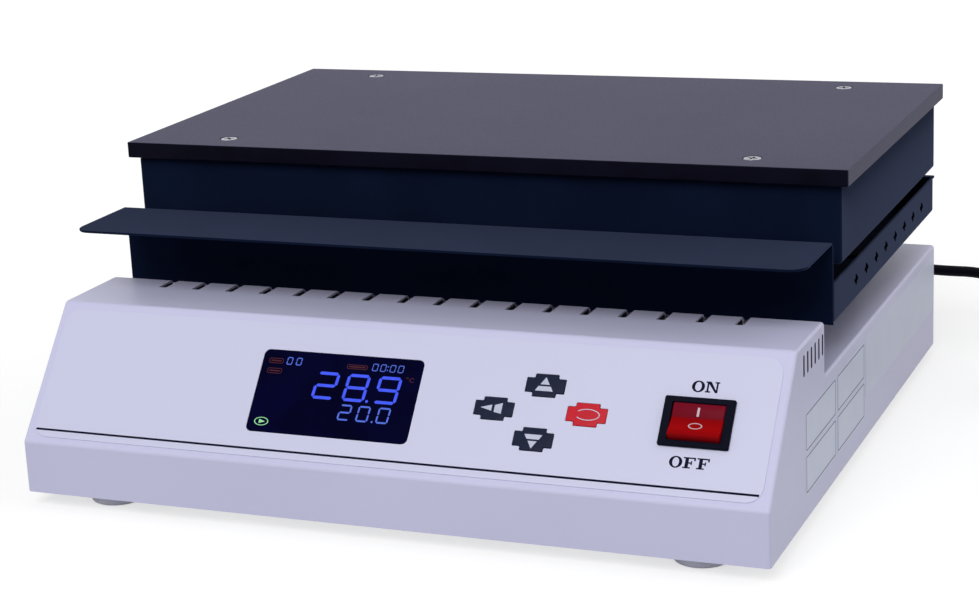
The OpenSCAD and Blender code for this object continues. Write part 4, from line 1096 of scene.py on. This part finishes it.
face_tilt = 10
rocker_r = 9.8
rocker_half = 12.5
rocker_edge = 0.5
rocker_line = [(0.0, fold_n)]
for k in range(1, 4):
    rocker_line.append((face_run * k / 3, fold_n + face_run * k / 3 * tan(radians(face_tilt))))
for a in [30.2, 27, 20, 10, 0, -9, -17.8]:
    rocker_line.append((rocker_r * cos(radians(a)), rocker_r * sin(radians(a))))
rocker_line += [(-x, y) for x, y in rocker_line[:0:-1]]
middle_n = 0.4
face_half = 9.3
body_half = 4.2
rocker_loops = []
for k in range(10):
    side = -1 if k < 5 else 1
    a = pi / 2 * (k if k < 5 else 9 - k) / 4
    less = rocker_edge * (1 - sin(a))
    x = side * (rocker_half - rocker_edge * (1 - cos(a)))
    across = 1 - less / face_half
    through = 1 - less / body_half
    rocker_loops.append([Vector((x, y * across, middle_n + (n - middle_n) * through)) * mm
                         for y, n in rocker_line])
pivot_n = -1.8
rocker_stand = panel_frame(*switch_at, pivot_n) @ Matrix.Rotation(radians(-face_tilt), 4, "X")
rocker_body = new_piece("rocker_body", *moved(skin(rocker_loops), rocker_stand), rocker_red)
pin_half = 13.9
pin_r = 1.5
pin = turned([(0, -pin_half), (pin_r, -pin_half), (pin_r, pin_half), (0, pin_half)], 20)
pin_stand = rocker_stand @ Matrix.Rotation(pi / 2, 4, "Y")
rocker_pin = new_piece("rocker_pin", *moved(pin, pin_stand), rocker_red)
rocker_white = finish_of("rocker_print", (0.58, 0.46, 0.52), 0.45, gloss=0.2, vary=0.05, patch=300.0,
                         grain=3000.0, relief=0.000003)
mark_n = 3.61


def on_face(part, upper):
    """Lays a flat print, drawn about the fold, on the upper or lower face of the rocker."""
    tilt = radians(face_tilt) if upper else radians(-face_tilt)
    lift = Matrix.Translation((0, 0, mark_n * mm))
    return moved(part, rocker_stand @ lift @ Matrix.Rotation(tilt, 4, "X"))


on_line = [Vector((x, y, 0)) * mm for x, y in bar(-0.55, 2.2, 0.55, 6.6)]
on_mark = on_face(prism(on_line, 0, print_t * mm), True)
off_middle = -3.1
off_turns = [2 * pi * k / 40 for k in range(40)]
off_loops = []
for less, up in [(0, 0), (0, print_t), (1, print_t), (1, 0)]:
    half_w = 3.35 - 0.55 * less
    half_h = 1.85 - 0.42 * less
    off_loops.append([Vector((half_w * cos(a), off_middle + half_h * sin(a), up)) * mm for a in off_turns])
off_mark = on_face(skin(off_loops, closed=True), False)
rocker_marks = new_piece("rocker_marks", *joined(on_mark, off_mark), rocker_white)
smooth(rocker_body, 25.0, even=False)
smooth(rocker_pin, 40.0, even=False)
rocker = one_piece("rocker", rocker_body, rocker_pin, rocker_marks)
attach(rocker, "rocker")
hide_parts("rocker")

# Feet. Four turned feet of pale grey rubber, each held by a sunk screw
# through the base plate.
foot_rubber = finish_of("foot_rubber", (0.72, 0.72, 0.86), 0.7, gloss=0.2, vary=0.06, patch=90.0,
                        grain=1400.0, relief=0.00003)
foot_line = [(2.2, 8.0), (14.8, 8.0), (15.0, 7.8), (14.95, 6.6), (14.5, 6.3), (14.45, 5.6), (14.8, 5.3),
             (14.6, 3.4), (14.2, 1.5), (13.7, 0.6), (12.8, 0.1), (12.1, 0.0), (5.2, 0.0), (4.8, 0.3),
             (4.8, 4.0), (2.2, 4.0)]
foot_loops = [oval_of(r, r, 56, h) for r, h in foot_line]
foot_places = {"foot_fl": (-156.5, 24), "foot_fr": (156.5, 24), "foot_rl": (-156.5, 338),
               "foot_rr": (156.5, 338)}
for name, (x, y) in foot_places.items():
    stand = Matrix.Translation((x * mm, case_y + y * mm, 0.0))
    foot = new_piece(name, *moved(skin(foot_loops, closed=True), stand), foot_rubber)
    smooth(foot, 50.0, even=False)
    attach(foot, "housing")
    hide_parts(name)

# Base. A zinc-plated steel plate closes the case from below; a row of slots
# in it lets cooling air in, and screws hold it to tabs of the case.
zinc = finish_of("zinc_plate", (0.50, 0.51, 0.54), 0.36, metal=1.0, vary=0.16, patch=60.0, grain=700.0,
                 relief=0.000015, rough_vary=0.10)
base_w = 385.6 * mm
base_d = 356.6 * mm
base_t = 1.5 * mm
base_stand = Matrix.Translation((0, case_y + case_d / 2, case_z))
base = new_piece("base_plate", *moved(slab(base_w, base_d, base_t, 1.5 * mm, 0.2 * mm, 4), base_stand),
                 zinc)
base_slots = 8
base_slot_w = 4 * mm
base_slot_long = 60 * mm
base_slot_pitch = 12 * mm
base_slot_first = -60 * mm
slot_line = oblong(base_slot_w, base_slot_long, 1.9 * mm)
slot_at = Matrix.Translation((0, case_y + 120 * mm, case_z))
slot = new_piece("base_slot", *moved(prism(slot_line, -2 * mm, 4 * mm), slot_at), zinc)
cut_out(base, row_of("base_slots", slot, base_slots, (base_slot_first, 0, 0), (base_slot_pitch, 0, 0),
                     zinc))
smooth(base, 35.0)
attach(base, "housing")
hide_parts("base_plate")

# Posts. Four turned steel posts carry the tray over the deck and leave an
# open gap that keeps the case cool; each is screwed at both ends.
post_steel = finish_of("post_steel", (0.55, 0.56, 0.60), 0.3, metal=1.0, vary=0.06, patch=40.0,
                       grain=300.0, relief=0.000012, stretch=(1.0, 1.0, 9.0))
post_line = [(0, 0), (5.2, 0), (6.0, 0.8), (6.0, 6.0), (5.7, 6.3), (5.7, 14.2), (6.0, 14.5), (6.0, 19.7),
             (5.2, 20.5), (0, 20.5)]
for name, (x, y) in post_places.items():
    stand = Matrix.Translation((x * mm, case_y + y * mm, case_z + deck_h))
    post = new_piece(name, *moved(turned(post_line, 40), stand), post_steel)
    smooth(post, 35.0, even=False)
    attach(post, "housing")
    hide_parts(name)

# Tray. A folded pan of thin steel, coated dark, stands on the posts. Crosses
# are cut in a row in each side, and its rear edge is turned outward.
dark_coat = finish_of("dark_coat", (0.0042, 0.0084, 0.0260), 0.50, gloss=0.0, vary=0.14, patch=26.0,
                      grain=820.0, relief=0.00004, rough_vary=0.06, sheen=0.32,
                      sheen_tone=(0.43, 0.50, 0.82), sheen_rough=0.40)
tray_w = 391.0
tray_front = 119.2
tray_back = 357.5
tray_z = 80.5
sheet = 1.2
sheet_edge = 0.3
fold_r = 2.0
fold_inner_r = 0.8


def folded(w, y0, y1, z, line, closed):
    """A sheet folded round a rectangle: rings inset from it at their heights."""
    loops = []
    for inward, height in line:
        corner = max(1.8 - inward, 0.25)
        ring = oblong((w - 2 * inward) * mm, (y1 - y0 - 2 * inward) * mm, corner * mm, 4)
        loops.append([Vector((p.x, case_y + (y0 + y1) / 2 * mm + p.y, case_z + (z + height) * mm))
                      for p in ring])
    return skin(loops, closed=closed)


def sheet_bend(height, start, stop, radius):
    """Points round a bend of a sheet, whose centre lies a fold radius inward at a height."""
    steps = 5
    turns = [radians(start + (stop - start) * k / steps) for k in range(steps + 1)]
    return [(fold_r - radius * cos(a), height + radius * sin(a)) for a in turns]


tray_h = 20.5
tray_line = sheet_bend(fold_r, -90, 0, fold_r)
tray_line += [(0.0, tray_h - sheet_edge), (sheet_edge, tray_h), (sheet - sheet_edge, tray_h),
              (sheet, tray_h - sheet_edge)]
tray_line += sheet_bend(fold_r, 0, -90, fold_inner_r)
tray = new_piece("tray_pan", *folded(tray_w, tray_front, tray_back, tray_z, tray_line, False), dark_coat)
# The cut walls of the crosses are painted nearly black: painted shade that makes each cross read open and
# dark.
shaded_cut_walls = finish_of("scorched_cut", (0.0006, 0.0007, 0.0025), 0.8, gloss=0.0, vary=0.3, patch=400.0,
                     grain=1500.0)
crosses = 8
cross_pitch = 22.6 * mm
cross_first = 166.5 * mm
cross_middle = 90.75 * mm
cross_h = 5.4 * mm
cross_long = 8.0 * mm
punch_half = 0.25
punch_line = cross_line(cross_h, cross_long, 2.2 * mm, 3.0 * mm, 0.3 * mm, 2)
punch_stand = (Matrix.Translation((0, case_y + cross_first, case_z + cross_middle))
               @ Matrix.Rotation(pi / 2, 4, "Y"))
punch = moved(prism(punch_line, -punch_half, punch_half), punch_stand)
cross = new_piece("cross_punch", *punch, shaded_cut_walls)
cross_cutter = row_of("cross_cutter", cross, crosses, (0, 0, 0), (0, cross_pitch, 0), shaded_cut_walls)
hole_line = oblong(2 * conduit_hole_r * mm, 2 * conduit_hole_r * mm, conduit_hole_r * mm, 8)
hole_stand = Matrix.Translation((conduit_at[0] * mm, case_y + conduit_at[1] * mm, case_z + tray_z * mm))
hole = new_piece("conduit_hole", *moved(prism(hole_line, -3 * mm, 4 * mm), hole_stand), dark_coat)
cut_out(tray, cross_cutter, hole)
rear_lip_d = 4.6
rear_lip_out = 1.7
lip_slab = slab(tray_w * mm, rear_lip_d * mm, sheet * mm, 1.2 * mm, 0.3 * mm, 3)
lip_stand = Matrix.Translation((0, case_y + (tray_back + rear_lip_out) * mm,
                                case_z + (tray_z + tray_h - sheet) * mm))
rear_lip = new_piece("tray_lip", *moved(lip_slab, lip_stand), dark_coat)
smooth(tray, 32.0)
smooth(rear_lip, 32.0)
tray = one_piece("lower_tray", tray, rear_lip)
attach(tray, "housing")
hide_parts("lower_tray")

# Front shield. A sheet welded to the front of the tray and bent forward over
# the panel keeps the heat and spills off it; its free corners are rounded.
shield_w = 391.0
shield_y = 118.0
shield_top = 122.0
lip_run = 54.0
lip_corner = 9.0
half_sheet = sheet / 2
bend_r = 2.2
free_edge = 0.28
path = [(shield_y + half_sheet, tray_z, 0, 1),
        (shield_y + half_sheet, shield_top - half_sheet - bend_r, 0, 1)]
for k in range(1, 7):
    a = pi / 2 * k / 6
    path.append((shield_y + half_sheet - bend_r * (1 - cos(a)),
                 shield_top - half_sheet - bend_r * (1 - sin(a)), sin(a), cos(a)))
before_corner = len(path) - 1
path.append((shield_y - lip_run + lip_corner, shield_top - half_sheet, 1, 0))
for k in range(1, 9):
    a = pi / 2 * k / 8
    path.append((shield_y - lip_run + lip_corner * (1 - sin(a)), shield_top - half_sheet, 1, 0))
loops = []
for i, (y, z, back, up) in enumerate(path):
    corner = max(0.0, lip_corner - (y - (shield_y - lip_run))) if i > before_corner else 0.0
    half = shield_w / 2 - (lip_corner - sqrt(max(lip_corner ** 2 - corner ** 2, 0.0)))
    thin = half_sheet - (free_edge if i == len(path) - 1 else 0.0)
    inner_half = half - free_edge
    inner_thin = thin - free_edge
    ring = []
    for x, n in [(-inner_half, -thin), (-half, -inner_thin), (-half, inner_thin), (-inner_half, thin),
                 (inner_half, thin), (half, inner_thin), (half, -inner_thin), (inner_half, -thin)]:
        ring.append(Vector((x * mm, case_y + (y - n * up) * mm, case_z + (z + n * back) * mm)))
    loops.append(ring)
shield = new_piece("front_shield", *skin(loops), dark_coat)
smooth(shield, 32.0)
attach(shield, "housing")
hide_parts("front_shield")

# Shroud. Four dark walls folded inward above and below carry the plate and
# hide the heater; it stands clear of the tray on the plate's own pillars.
shroud_front = 136.0
shroud_back = 360.0
shroud_z = 106.0
shroud_h = 40.0
upper_flange = 24.0
lower_flange = 8.0
shroud_line = sheet_bend(fold_r, -90, 0, fold_r)
shroud_line += sheet_bend(shroud_h - fold_r, 0, 90, fold_r)
shroud_line += [(upper_flange, shroud_h), (upper_flange, shroud_h - sheet)]
shroud_line += sheet_bend(shroud_h - fold_r, 90, 0, fold_inner_r)
shroud_line += sheet_bend(fold_r, 0, -90, fold_inner_r)
shroud_line += [(lower_flange, sheet), (lower_flange, 0.0)]
walls = folded(tray_w, shroud_front, shroud_back, shroud_z, shroud_line, True)
shroud = new_piece("upper_shroud", *walls, dark_coat)
smooth(shroud, 32.0)
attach(shroud, "housing")
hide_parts("upper_shroud")

# Graphite plate. A sawn and ground slab with broken edges lies on the shroud;
# it is matt grey, and its front and rear edges are nearly black, painted shade.
graphite = finish_of("graphite_face", (0.0455, 0.0430, 0.0790), 0.52, gloss=0.06, vary=0.08, patch=14.0,
                     grain=1300.0, relief=0.00002, rough_vary=0.08, sheen=0.08,
                     sheen_tone=(0.62, 0.60, 0.95), sheen_rough=0.5)
graphite_edge = finish_of("graphite_edge", (0.0025, 0.0022, 0.0085), 0.5, gloss=0.04, vary=0.3,
                          patch=60.0, grain=900.0, relief=0.00003)
plate_w = 400.0 * mm
plate_d = 230.0 * mm
plate_t = 8.5
plate_z = 146.0
plate_mid = case_y + 247.0 * mm
plate_top = case_z + (plate_z + plate_t) * mm
plate_shape = slab(plate_w, plate_d, plate_t * mm, 1.0 * mm, 0.55 * mm, 4)
plate_stand = Matrix.Translation((0, plate_mid, case_z + plate_z * mm))
plate = new_piece("plate_slab", *moved(plate_shape, plate_stand), graphite)
sink_line = [(0, -11.0), (2.65, -11.0), (2.65, -2.95), (5.1, -0.25), (5.25, 2.0), (0, 2.0)]
screw_spots = [Vector((x * mm, case_y + y * mm, plate_top))
               for x, y in [(-147, 151), (147, 151), (-147, 343), (147, 343)]]
sinks = [moved(turned(sink_line, 40), Matrix.Translation(spot)) for spot in screw_spots]
cut_out(plate, new_piece("sink_cutter", *joined(*sinks), graphite))
smooth(plate, 32.0)
# The front and rear edge faces take a near-black finish: painted shade.
plate.data.materials.append(graphite_edge)
edge_from = plate_d / 2 - 1.0 * mm
for face in plate.data.polygons:
    if abs(face.center.y - plate_mid) > edge_from and abs(face.normal.y) > 0.6:
        face.material_index = 1
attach(plate, "housing")
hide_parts("graphite_plate")

# Plate screws. Four countersunk steel screws with cross recesses hold the
# plate down on its pillars; each was left at its own turn.
bright = finish_of("bright_steel", (0.36, 0.36, 0.42), 0.26, metal=1.0, vary=0.25, patch=420.0,
                   grain=2600.0, relief=0.000006)
recess_steel = finish_of("recess_steel", (0.045, 0.045, 0.060), 0.4, metal=1.0, vary=0.2, patch=420.0,
                         grain=2600.0, relief=0.000006)
head_line = [(0, -9.0), (2.45, -9.0), (2.45, -2.7), (4.35, -0.55), (4.5, -0.3), (4.4, -0.12), (3.6, 0.0),
             (0, 0.0)]
head = new_piece("screw_head", *turned(head_line, 40), bright)
wing_top = [Vector((x, y, 0.4)) * mm for x, y in bar(-3.1, -0.72, 3.1, 0.72)]
wing_low = [Vector((x, y, -1.9)) * mm for x, y in bar(-0.9, -0.4, 0.9, 0.4)]
for a in (0, 90):
    wing = moved(skin([wing_low, wing_top]), Matrix.Rotation(radians(a), 4, "Z"))
    cut_out(head, new_piece("recess_cutter", *wing, bright))
places_tree = bpy.data.node_groups.new("copies_at_places", "GeometryNodeTree")
places_face = places_tree.interface
places_face.new_socket("Geometry", in_out="INPUT", socket_type="NodeSocketGeometry")
places_face.new_socket("Shape", in_out="INPUT", socket_type="NodeSocketObject")
places_face.new_socket("Most Turn", in_out="INPUT", socket_type="NodeSocketFloat")
places_face.new_socket("Seed", in_out="INPUT", socket_type="NodeSocketInt")
places_face.new_socket("Finish", in_out="INPUT", socket_type="NodeSocketMaterial")
places_face.new_socket("Geometry", in_out="OUTPUT", socket_type="NodeSocketGeometry")
places_nodes = places_tree.nodes
places_link = places_tree.links.new
places_in = places_nodes.new("NodeGroupInput")
places_shape = places_nodes.new("GeometryNodeObjectInfo")
places_turn = places_nodes.new("FunctionNodeRandomValue")
places_turn.data_type = "FLOAT"
places_way = places_nodes.new("ShaderNodeCombineXYZ")
places_put = places_nodes.new("GeometryNodeInstanceOnPoints")
places_real = places_nodes.new("GeometryNodeRealizeInstances")
places_coat = places_nodes.new("GeometryNodeSetMaterial")
places_out = places_nodes.new("NodeGroupOutput")
places_link(places_in.outputs["Shape"], places_shape.inputs["Object"])
places_link(places_in.outputs["Most Turn"], places_turn.inputs[3])
places_link(places_in.outputs["Seed"], places_turn.inputs["Seed"])
places_link(places_turn.outputs[1], places_way.inputs["Z"])
places_link(places_in.outputs["Geometry"], places_put.inputs["Points"])
places_link(places_shape.outputs["Geometry"], places_put.inputs["Instance"])
places_link(places_way.outputs[0], places_put.inputs["Rotation"])
places_link(places_put.outputs["Instances"], places_real.inputs["Geometry"])
places_link(places_real.outputs["Geometry"], places_coat.inputs["Geometry"])
places_link(places_in.outputs["Finish"], places_coat.inputs["Material"])
places_link(places_coat.outputs["Geometry"], places_out.inputs["Geometry"])


def copies_at(name, shape, places, most_turn, seed, stuff):
    """Copies of a shape at places, each at its own turn, as one plain mesh."""
    marks = bpy.data.meshes.new(name)
    marks.from_pydata([tuple(p) for p in places], [], [])
    holder = bpy.data.objects.new(name, marks)
    bpy.context.collection.objects.link(holder)
    copies = holder.modifiers.new("copies", "NODES")
    copies.node_group = places_tree
    inputs = {item.name: item.identifier for item in places_face.items_tree if item.in_out == "INPUT"}
    copies[inputs["Shape"]] = shape
    copies[inputs["Most Turn"]] = most_turn
    copies[inputs["Seed"]] = seed
    copies[inputs["Finish"]] = stuff
    settle(holder)
    bpy.data.objects.remove(shape)
    return holder


most_turn = 3.0
turn_seed = 7
plate_screws = copies_at("plate_screws", head, screw_spots, most_turn, turn_seed, bright)
smooth(plate_screws, 32.0, even=False)
# The faces inside each cross recess take a dark steel: painted shade in the recess.
plate_screws.data.materials.append(recess_steel)
recess_r = 3.0 * mm
recess_from = 0.05 * mm
recess_deep = 2.0 * mm
for face in plate_screws.data.polygons:
    out = min((face.center.xy - spot.xy).length for spot in screw_spots)
    depth = plate_top - face.center.z
    if out < recess_r and recess_from < depth < recess_deep:
        face.material_index = 1
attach(plate_screws, "housing")
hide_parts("plate_screws")

# Fuse holder. A black moulding in the rear wall takes a ribbed bayonet cap
# with a slot for a screwdriver.
fuse_black = finish_of("fuse_moulding", (0.009, 0.009, 0.011), 0.4, gloss=0.4, vary=0.12, patch=160.0,
                       grain=1800.0, relief=0.000008)
fuse_stand = (Matrix.Translation((fuse_at[0] * mm, case_y + case_d, case_z + fuse_at[1] * mm))
              @ Matrix.Rotation(-pi / 2, 4, "X"))
fuse_line = [(4.4, -28.0), (5.0, -30.0), (6.2, -30.0), (6.2, 0.0), (8.6, 0.0), (9.0, 0.4), (9.0, 1.9),
             (8.5, 2.45), (7.4, 2.5), (4.6, 2.5), (4.4, 2.2)]
fuse_loops = [oval_of(r, r, 64, h) for r, h in fuse_line]
holder = new_piece("fuse_holder", *moved(skin(fuse_loops, closed=True), fuse_stand), fuse_black)
smooth(holder, 32.0)
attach(holder, "housing")
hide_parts("fuse_holder")
cap_steps = 96
cap_loops = []
for r, h, ribbed in [(0.01, -3.4, 0), (4.0, -3.4, 0), (4.15, -3.2, 0), (4.15, 2.62, 0), (6.5, 2.62, 0),
                     (6.8, 2.9, 0.22), (6.8, 8.6, 0.22), (6.4, 9.2, 0.1), (5.9, 9.45, 0), (0.01, 9.5, 0)]:
    ring = []
    for k in range(cap_steps):
        out = r + (ribbed if k % 4 < 2 else -ribbed)
        a = 2 * pi * k / cap_steps
        ring.append(Vector((out * cos(a), out * sin(a), h)) * mm)
    cap_loops.append(ring)
cap = new_piece("fuse_cap", *skin(cap_loops), fuse_black)
slot_line = oblong(16 * mm, 1.4 * mm, 0.2 * mm, 2)
cut_out(cap, new_piece("cap_slot", *prism(slot_line, 7.9 * mm, 12 * mm), fuse_black))
cap.data.transform(fuse_stand)
smooth(cap, 32.0)
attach(cap, "fuse_cap")
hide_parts("fuse_cap")

# Label plates. Blank plastic plates are stuck on the right side of the case:
# four small ones with a thin printed border in two columns, and a wider plain
# one behind them.
label_stock = finish_of("label_stock", (0.60, 0.64, 0.80), 0.42, gloss=0.35, vary=0.02, patch=60.0,
                        grain=1500.0, relief=0.000006)
label_ink = finish_of("label_ink", (0.10, 0.11, 0.17), 0.5, gloss=0.25, vary=0.15, patch=500.0,
                      grain=2500.0, relief=0.000003)
label_t = 0.15
ink_top = label_t + 0.02
border_outer = 0.9
border_inner = 1.5
plates = []
borders = []
for y0, y1, z0, z1, lined in [(63.5, 122.5, 33, 53, True), (63.5, 122.5, 12, 32, True),
                              (125, 183.5, 33, 53, True), (125, 183.5, 12, 32, True),
                              (186, 356, 22, 54, False)]:
    stand = (Matrix.Translation((case_w / 2 - 0.02 * mm, case_y + (y0 + y1) / 2 * mm,
                                 case_z + (z0 + z1) / 2 * mm))
             @ Matrix.Rotation(pi / 2, 4, "Z") @ Matrix.Rotation(pi / 2, 4, "X"))
    sticker = slab((y1 - y0) * mm, (z1 - z0) * mm, label_t * mm, 1.5 * mm, 0.04 * mm, 4)
    plates.append(moved(sticker, stand))
    if lined:
        border = []
        for less, up in [(border_outer, label_t), (border_outer, ink_top), (border_inner, ink_top),
                         (border_inner, label_t)]:
            line = oblong((y1 - y0 - 2 * less) * mm, (z1 - z0 - 2 * less) * mm, (2.2 - less) * mm, 4)
            border.append([p + Vector((0, 0, up * mm)) for p in line])
        borders.append(moved(skin(border, closed=True), stand))
label_plates = new_piece("label_plates", *joined(*plates), label_stock)
label_borders = new_piece("label_borders", *joined(*borders), label_ink)
for piece in (label_plates, label_borders):
    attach(piece, "housing")

# Inside. The heater, its insulation and pillars, the boards, transformer,
# relay, wires and fixings keep their modelled shapes and take their finishes.


def stays(stuff, *names):
    """Gives a finish to the nodes that keep their modelled shapes."""
    for name in names:
        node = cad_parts[name]
        if not node.material_slots:
            node.data.materials.append(stuff)
        for place in node.material_slots:
            place.link = "OBJECT"
            place.material = stuff


board_green = finish_of("board_green", (0.012, 0.12, 0.035), 0.35, vary=0.2, patch=300.0, grain=900.0)
stays(board_green, "control_board", "power_board")
module_grey = finish_of("module_grey", (0.05, 0.055, 0.065), 0.45, vary=0.1, patch=120.0, grain=1200.0)
stays(module_grey, "lcd_module", "key_switches")
cream = finish_of("cream_plastic", (0.66, 0.62, 0.50), 0.45, vary=0.06, patch=90.0, grain=1200.0)
stays(cream, "terminal_block", "relay")
brass = finish_of("brass", (0.62, 0.45, 0.16), 0.32, metal=1.0, vary=0.1, patch=150.0, grain=1800.0,
                  relief=0.00001)
stays(brass, "switch_tabs", "board_posts")
stays(zinc, "inner_pan", "clamp_sheet", "foot_nuts", "plate_pillars")
conduit_coat = finish_of("conduit_coat", (0.003, 0.003, 0.007), 0.6, gloss=0.05, vary=0.1, patch=90.0,
                         grain=900.0)
stays(conduit_coat, "wire_conduit")
screw_steel = finish_of("screw_steel", (0.58, 0.59, 0.62), 0.3, metal=1.0, vary=0.1, patch=200.0,
                        grain=2000.0, relief=0.000008)
stays(screw_steel, "base_screws", "foot_screws", "board_screws", "deck_screws", "tray_screws",
      "pillar_screws", "temp_probe", "fuse_link")
wool = finish_of("insulation_wool", (0.62, 0.58, 0.48), 0.95, gloss=0.1, vary=0.15, patch=140.0,
                 grain=500.0, relief=0.0003)
stays(wool, "insulation_board")
sheath = finish_of("heater_sheath", (0.20, 0.17, 0.15), 0.42, metal=1.0, vary=0.3, patch=40.0,
                   grain=900.0, relief=0.00002)
stays(sheath, "heater_front", "heater_rear")
cast_aluminium = finish_of("cast_aluminium", (0.55, 0.56, 0.58), 0.48, metal=1.0, vary=0.1, patch=60.0,
                           grain=500.0, relief=0.00008)
stays(cast_aluminium, "heater_plate", "heat_sink")
wire_red = finish_of("wire_red", (0.16, 0.012, 0.010), 0.6, gloss=0.2, vary=0.1, patch=100.0,
                     grain=1500.0)
stays(wire_red, "heater_leads")
wire_blue = finish_of("wire_blue", (0.02, 0.09, 0.36), 0.45, vary=0.08, patch=100.0, grain=1500.0)
stays(wire_blue, "switch_leads")
core_steel = finish_of("core_laminations", (0.16, 0.10, 0.06), 0.5, metal=0.4, vary=0.3, patch=30.0,
                       grain=260.0, relief=0.0001, stretch=(1.0, 1.0, 7.0))
stays(core_steel, "transformer")
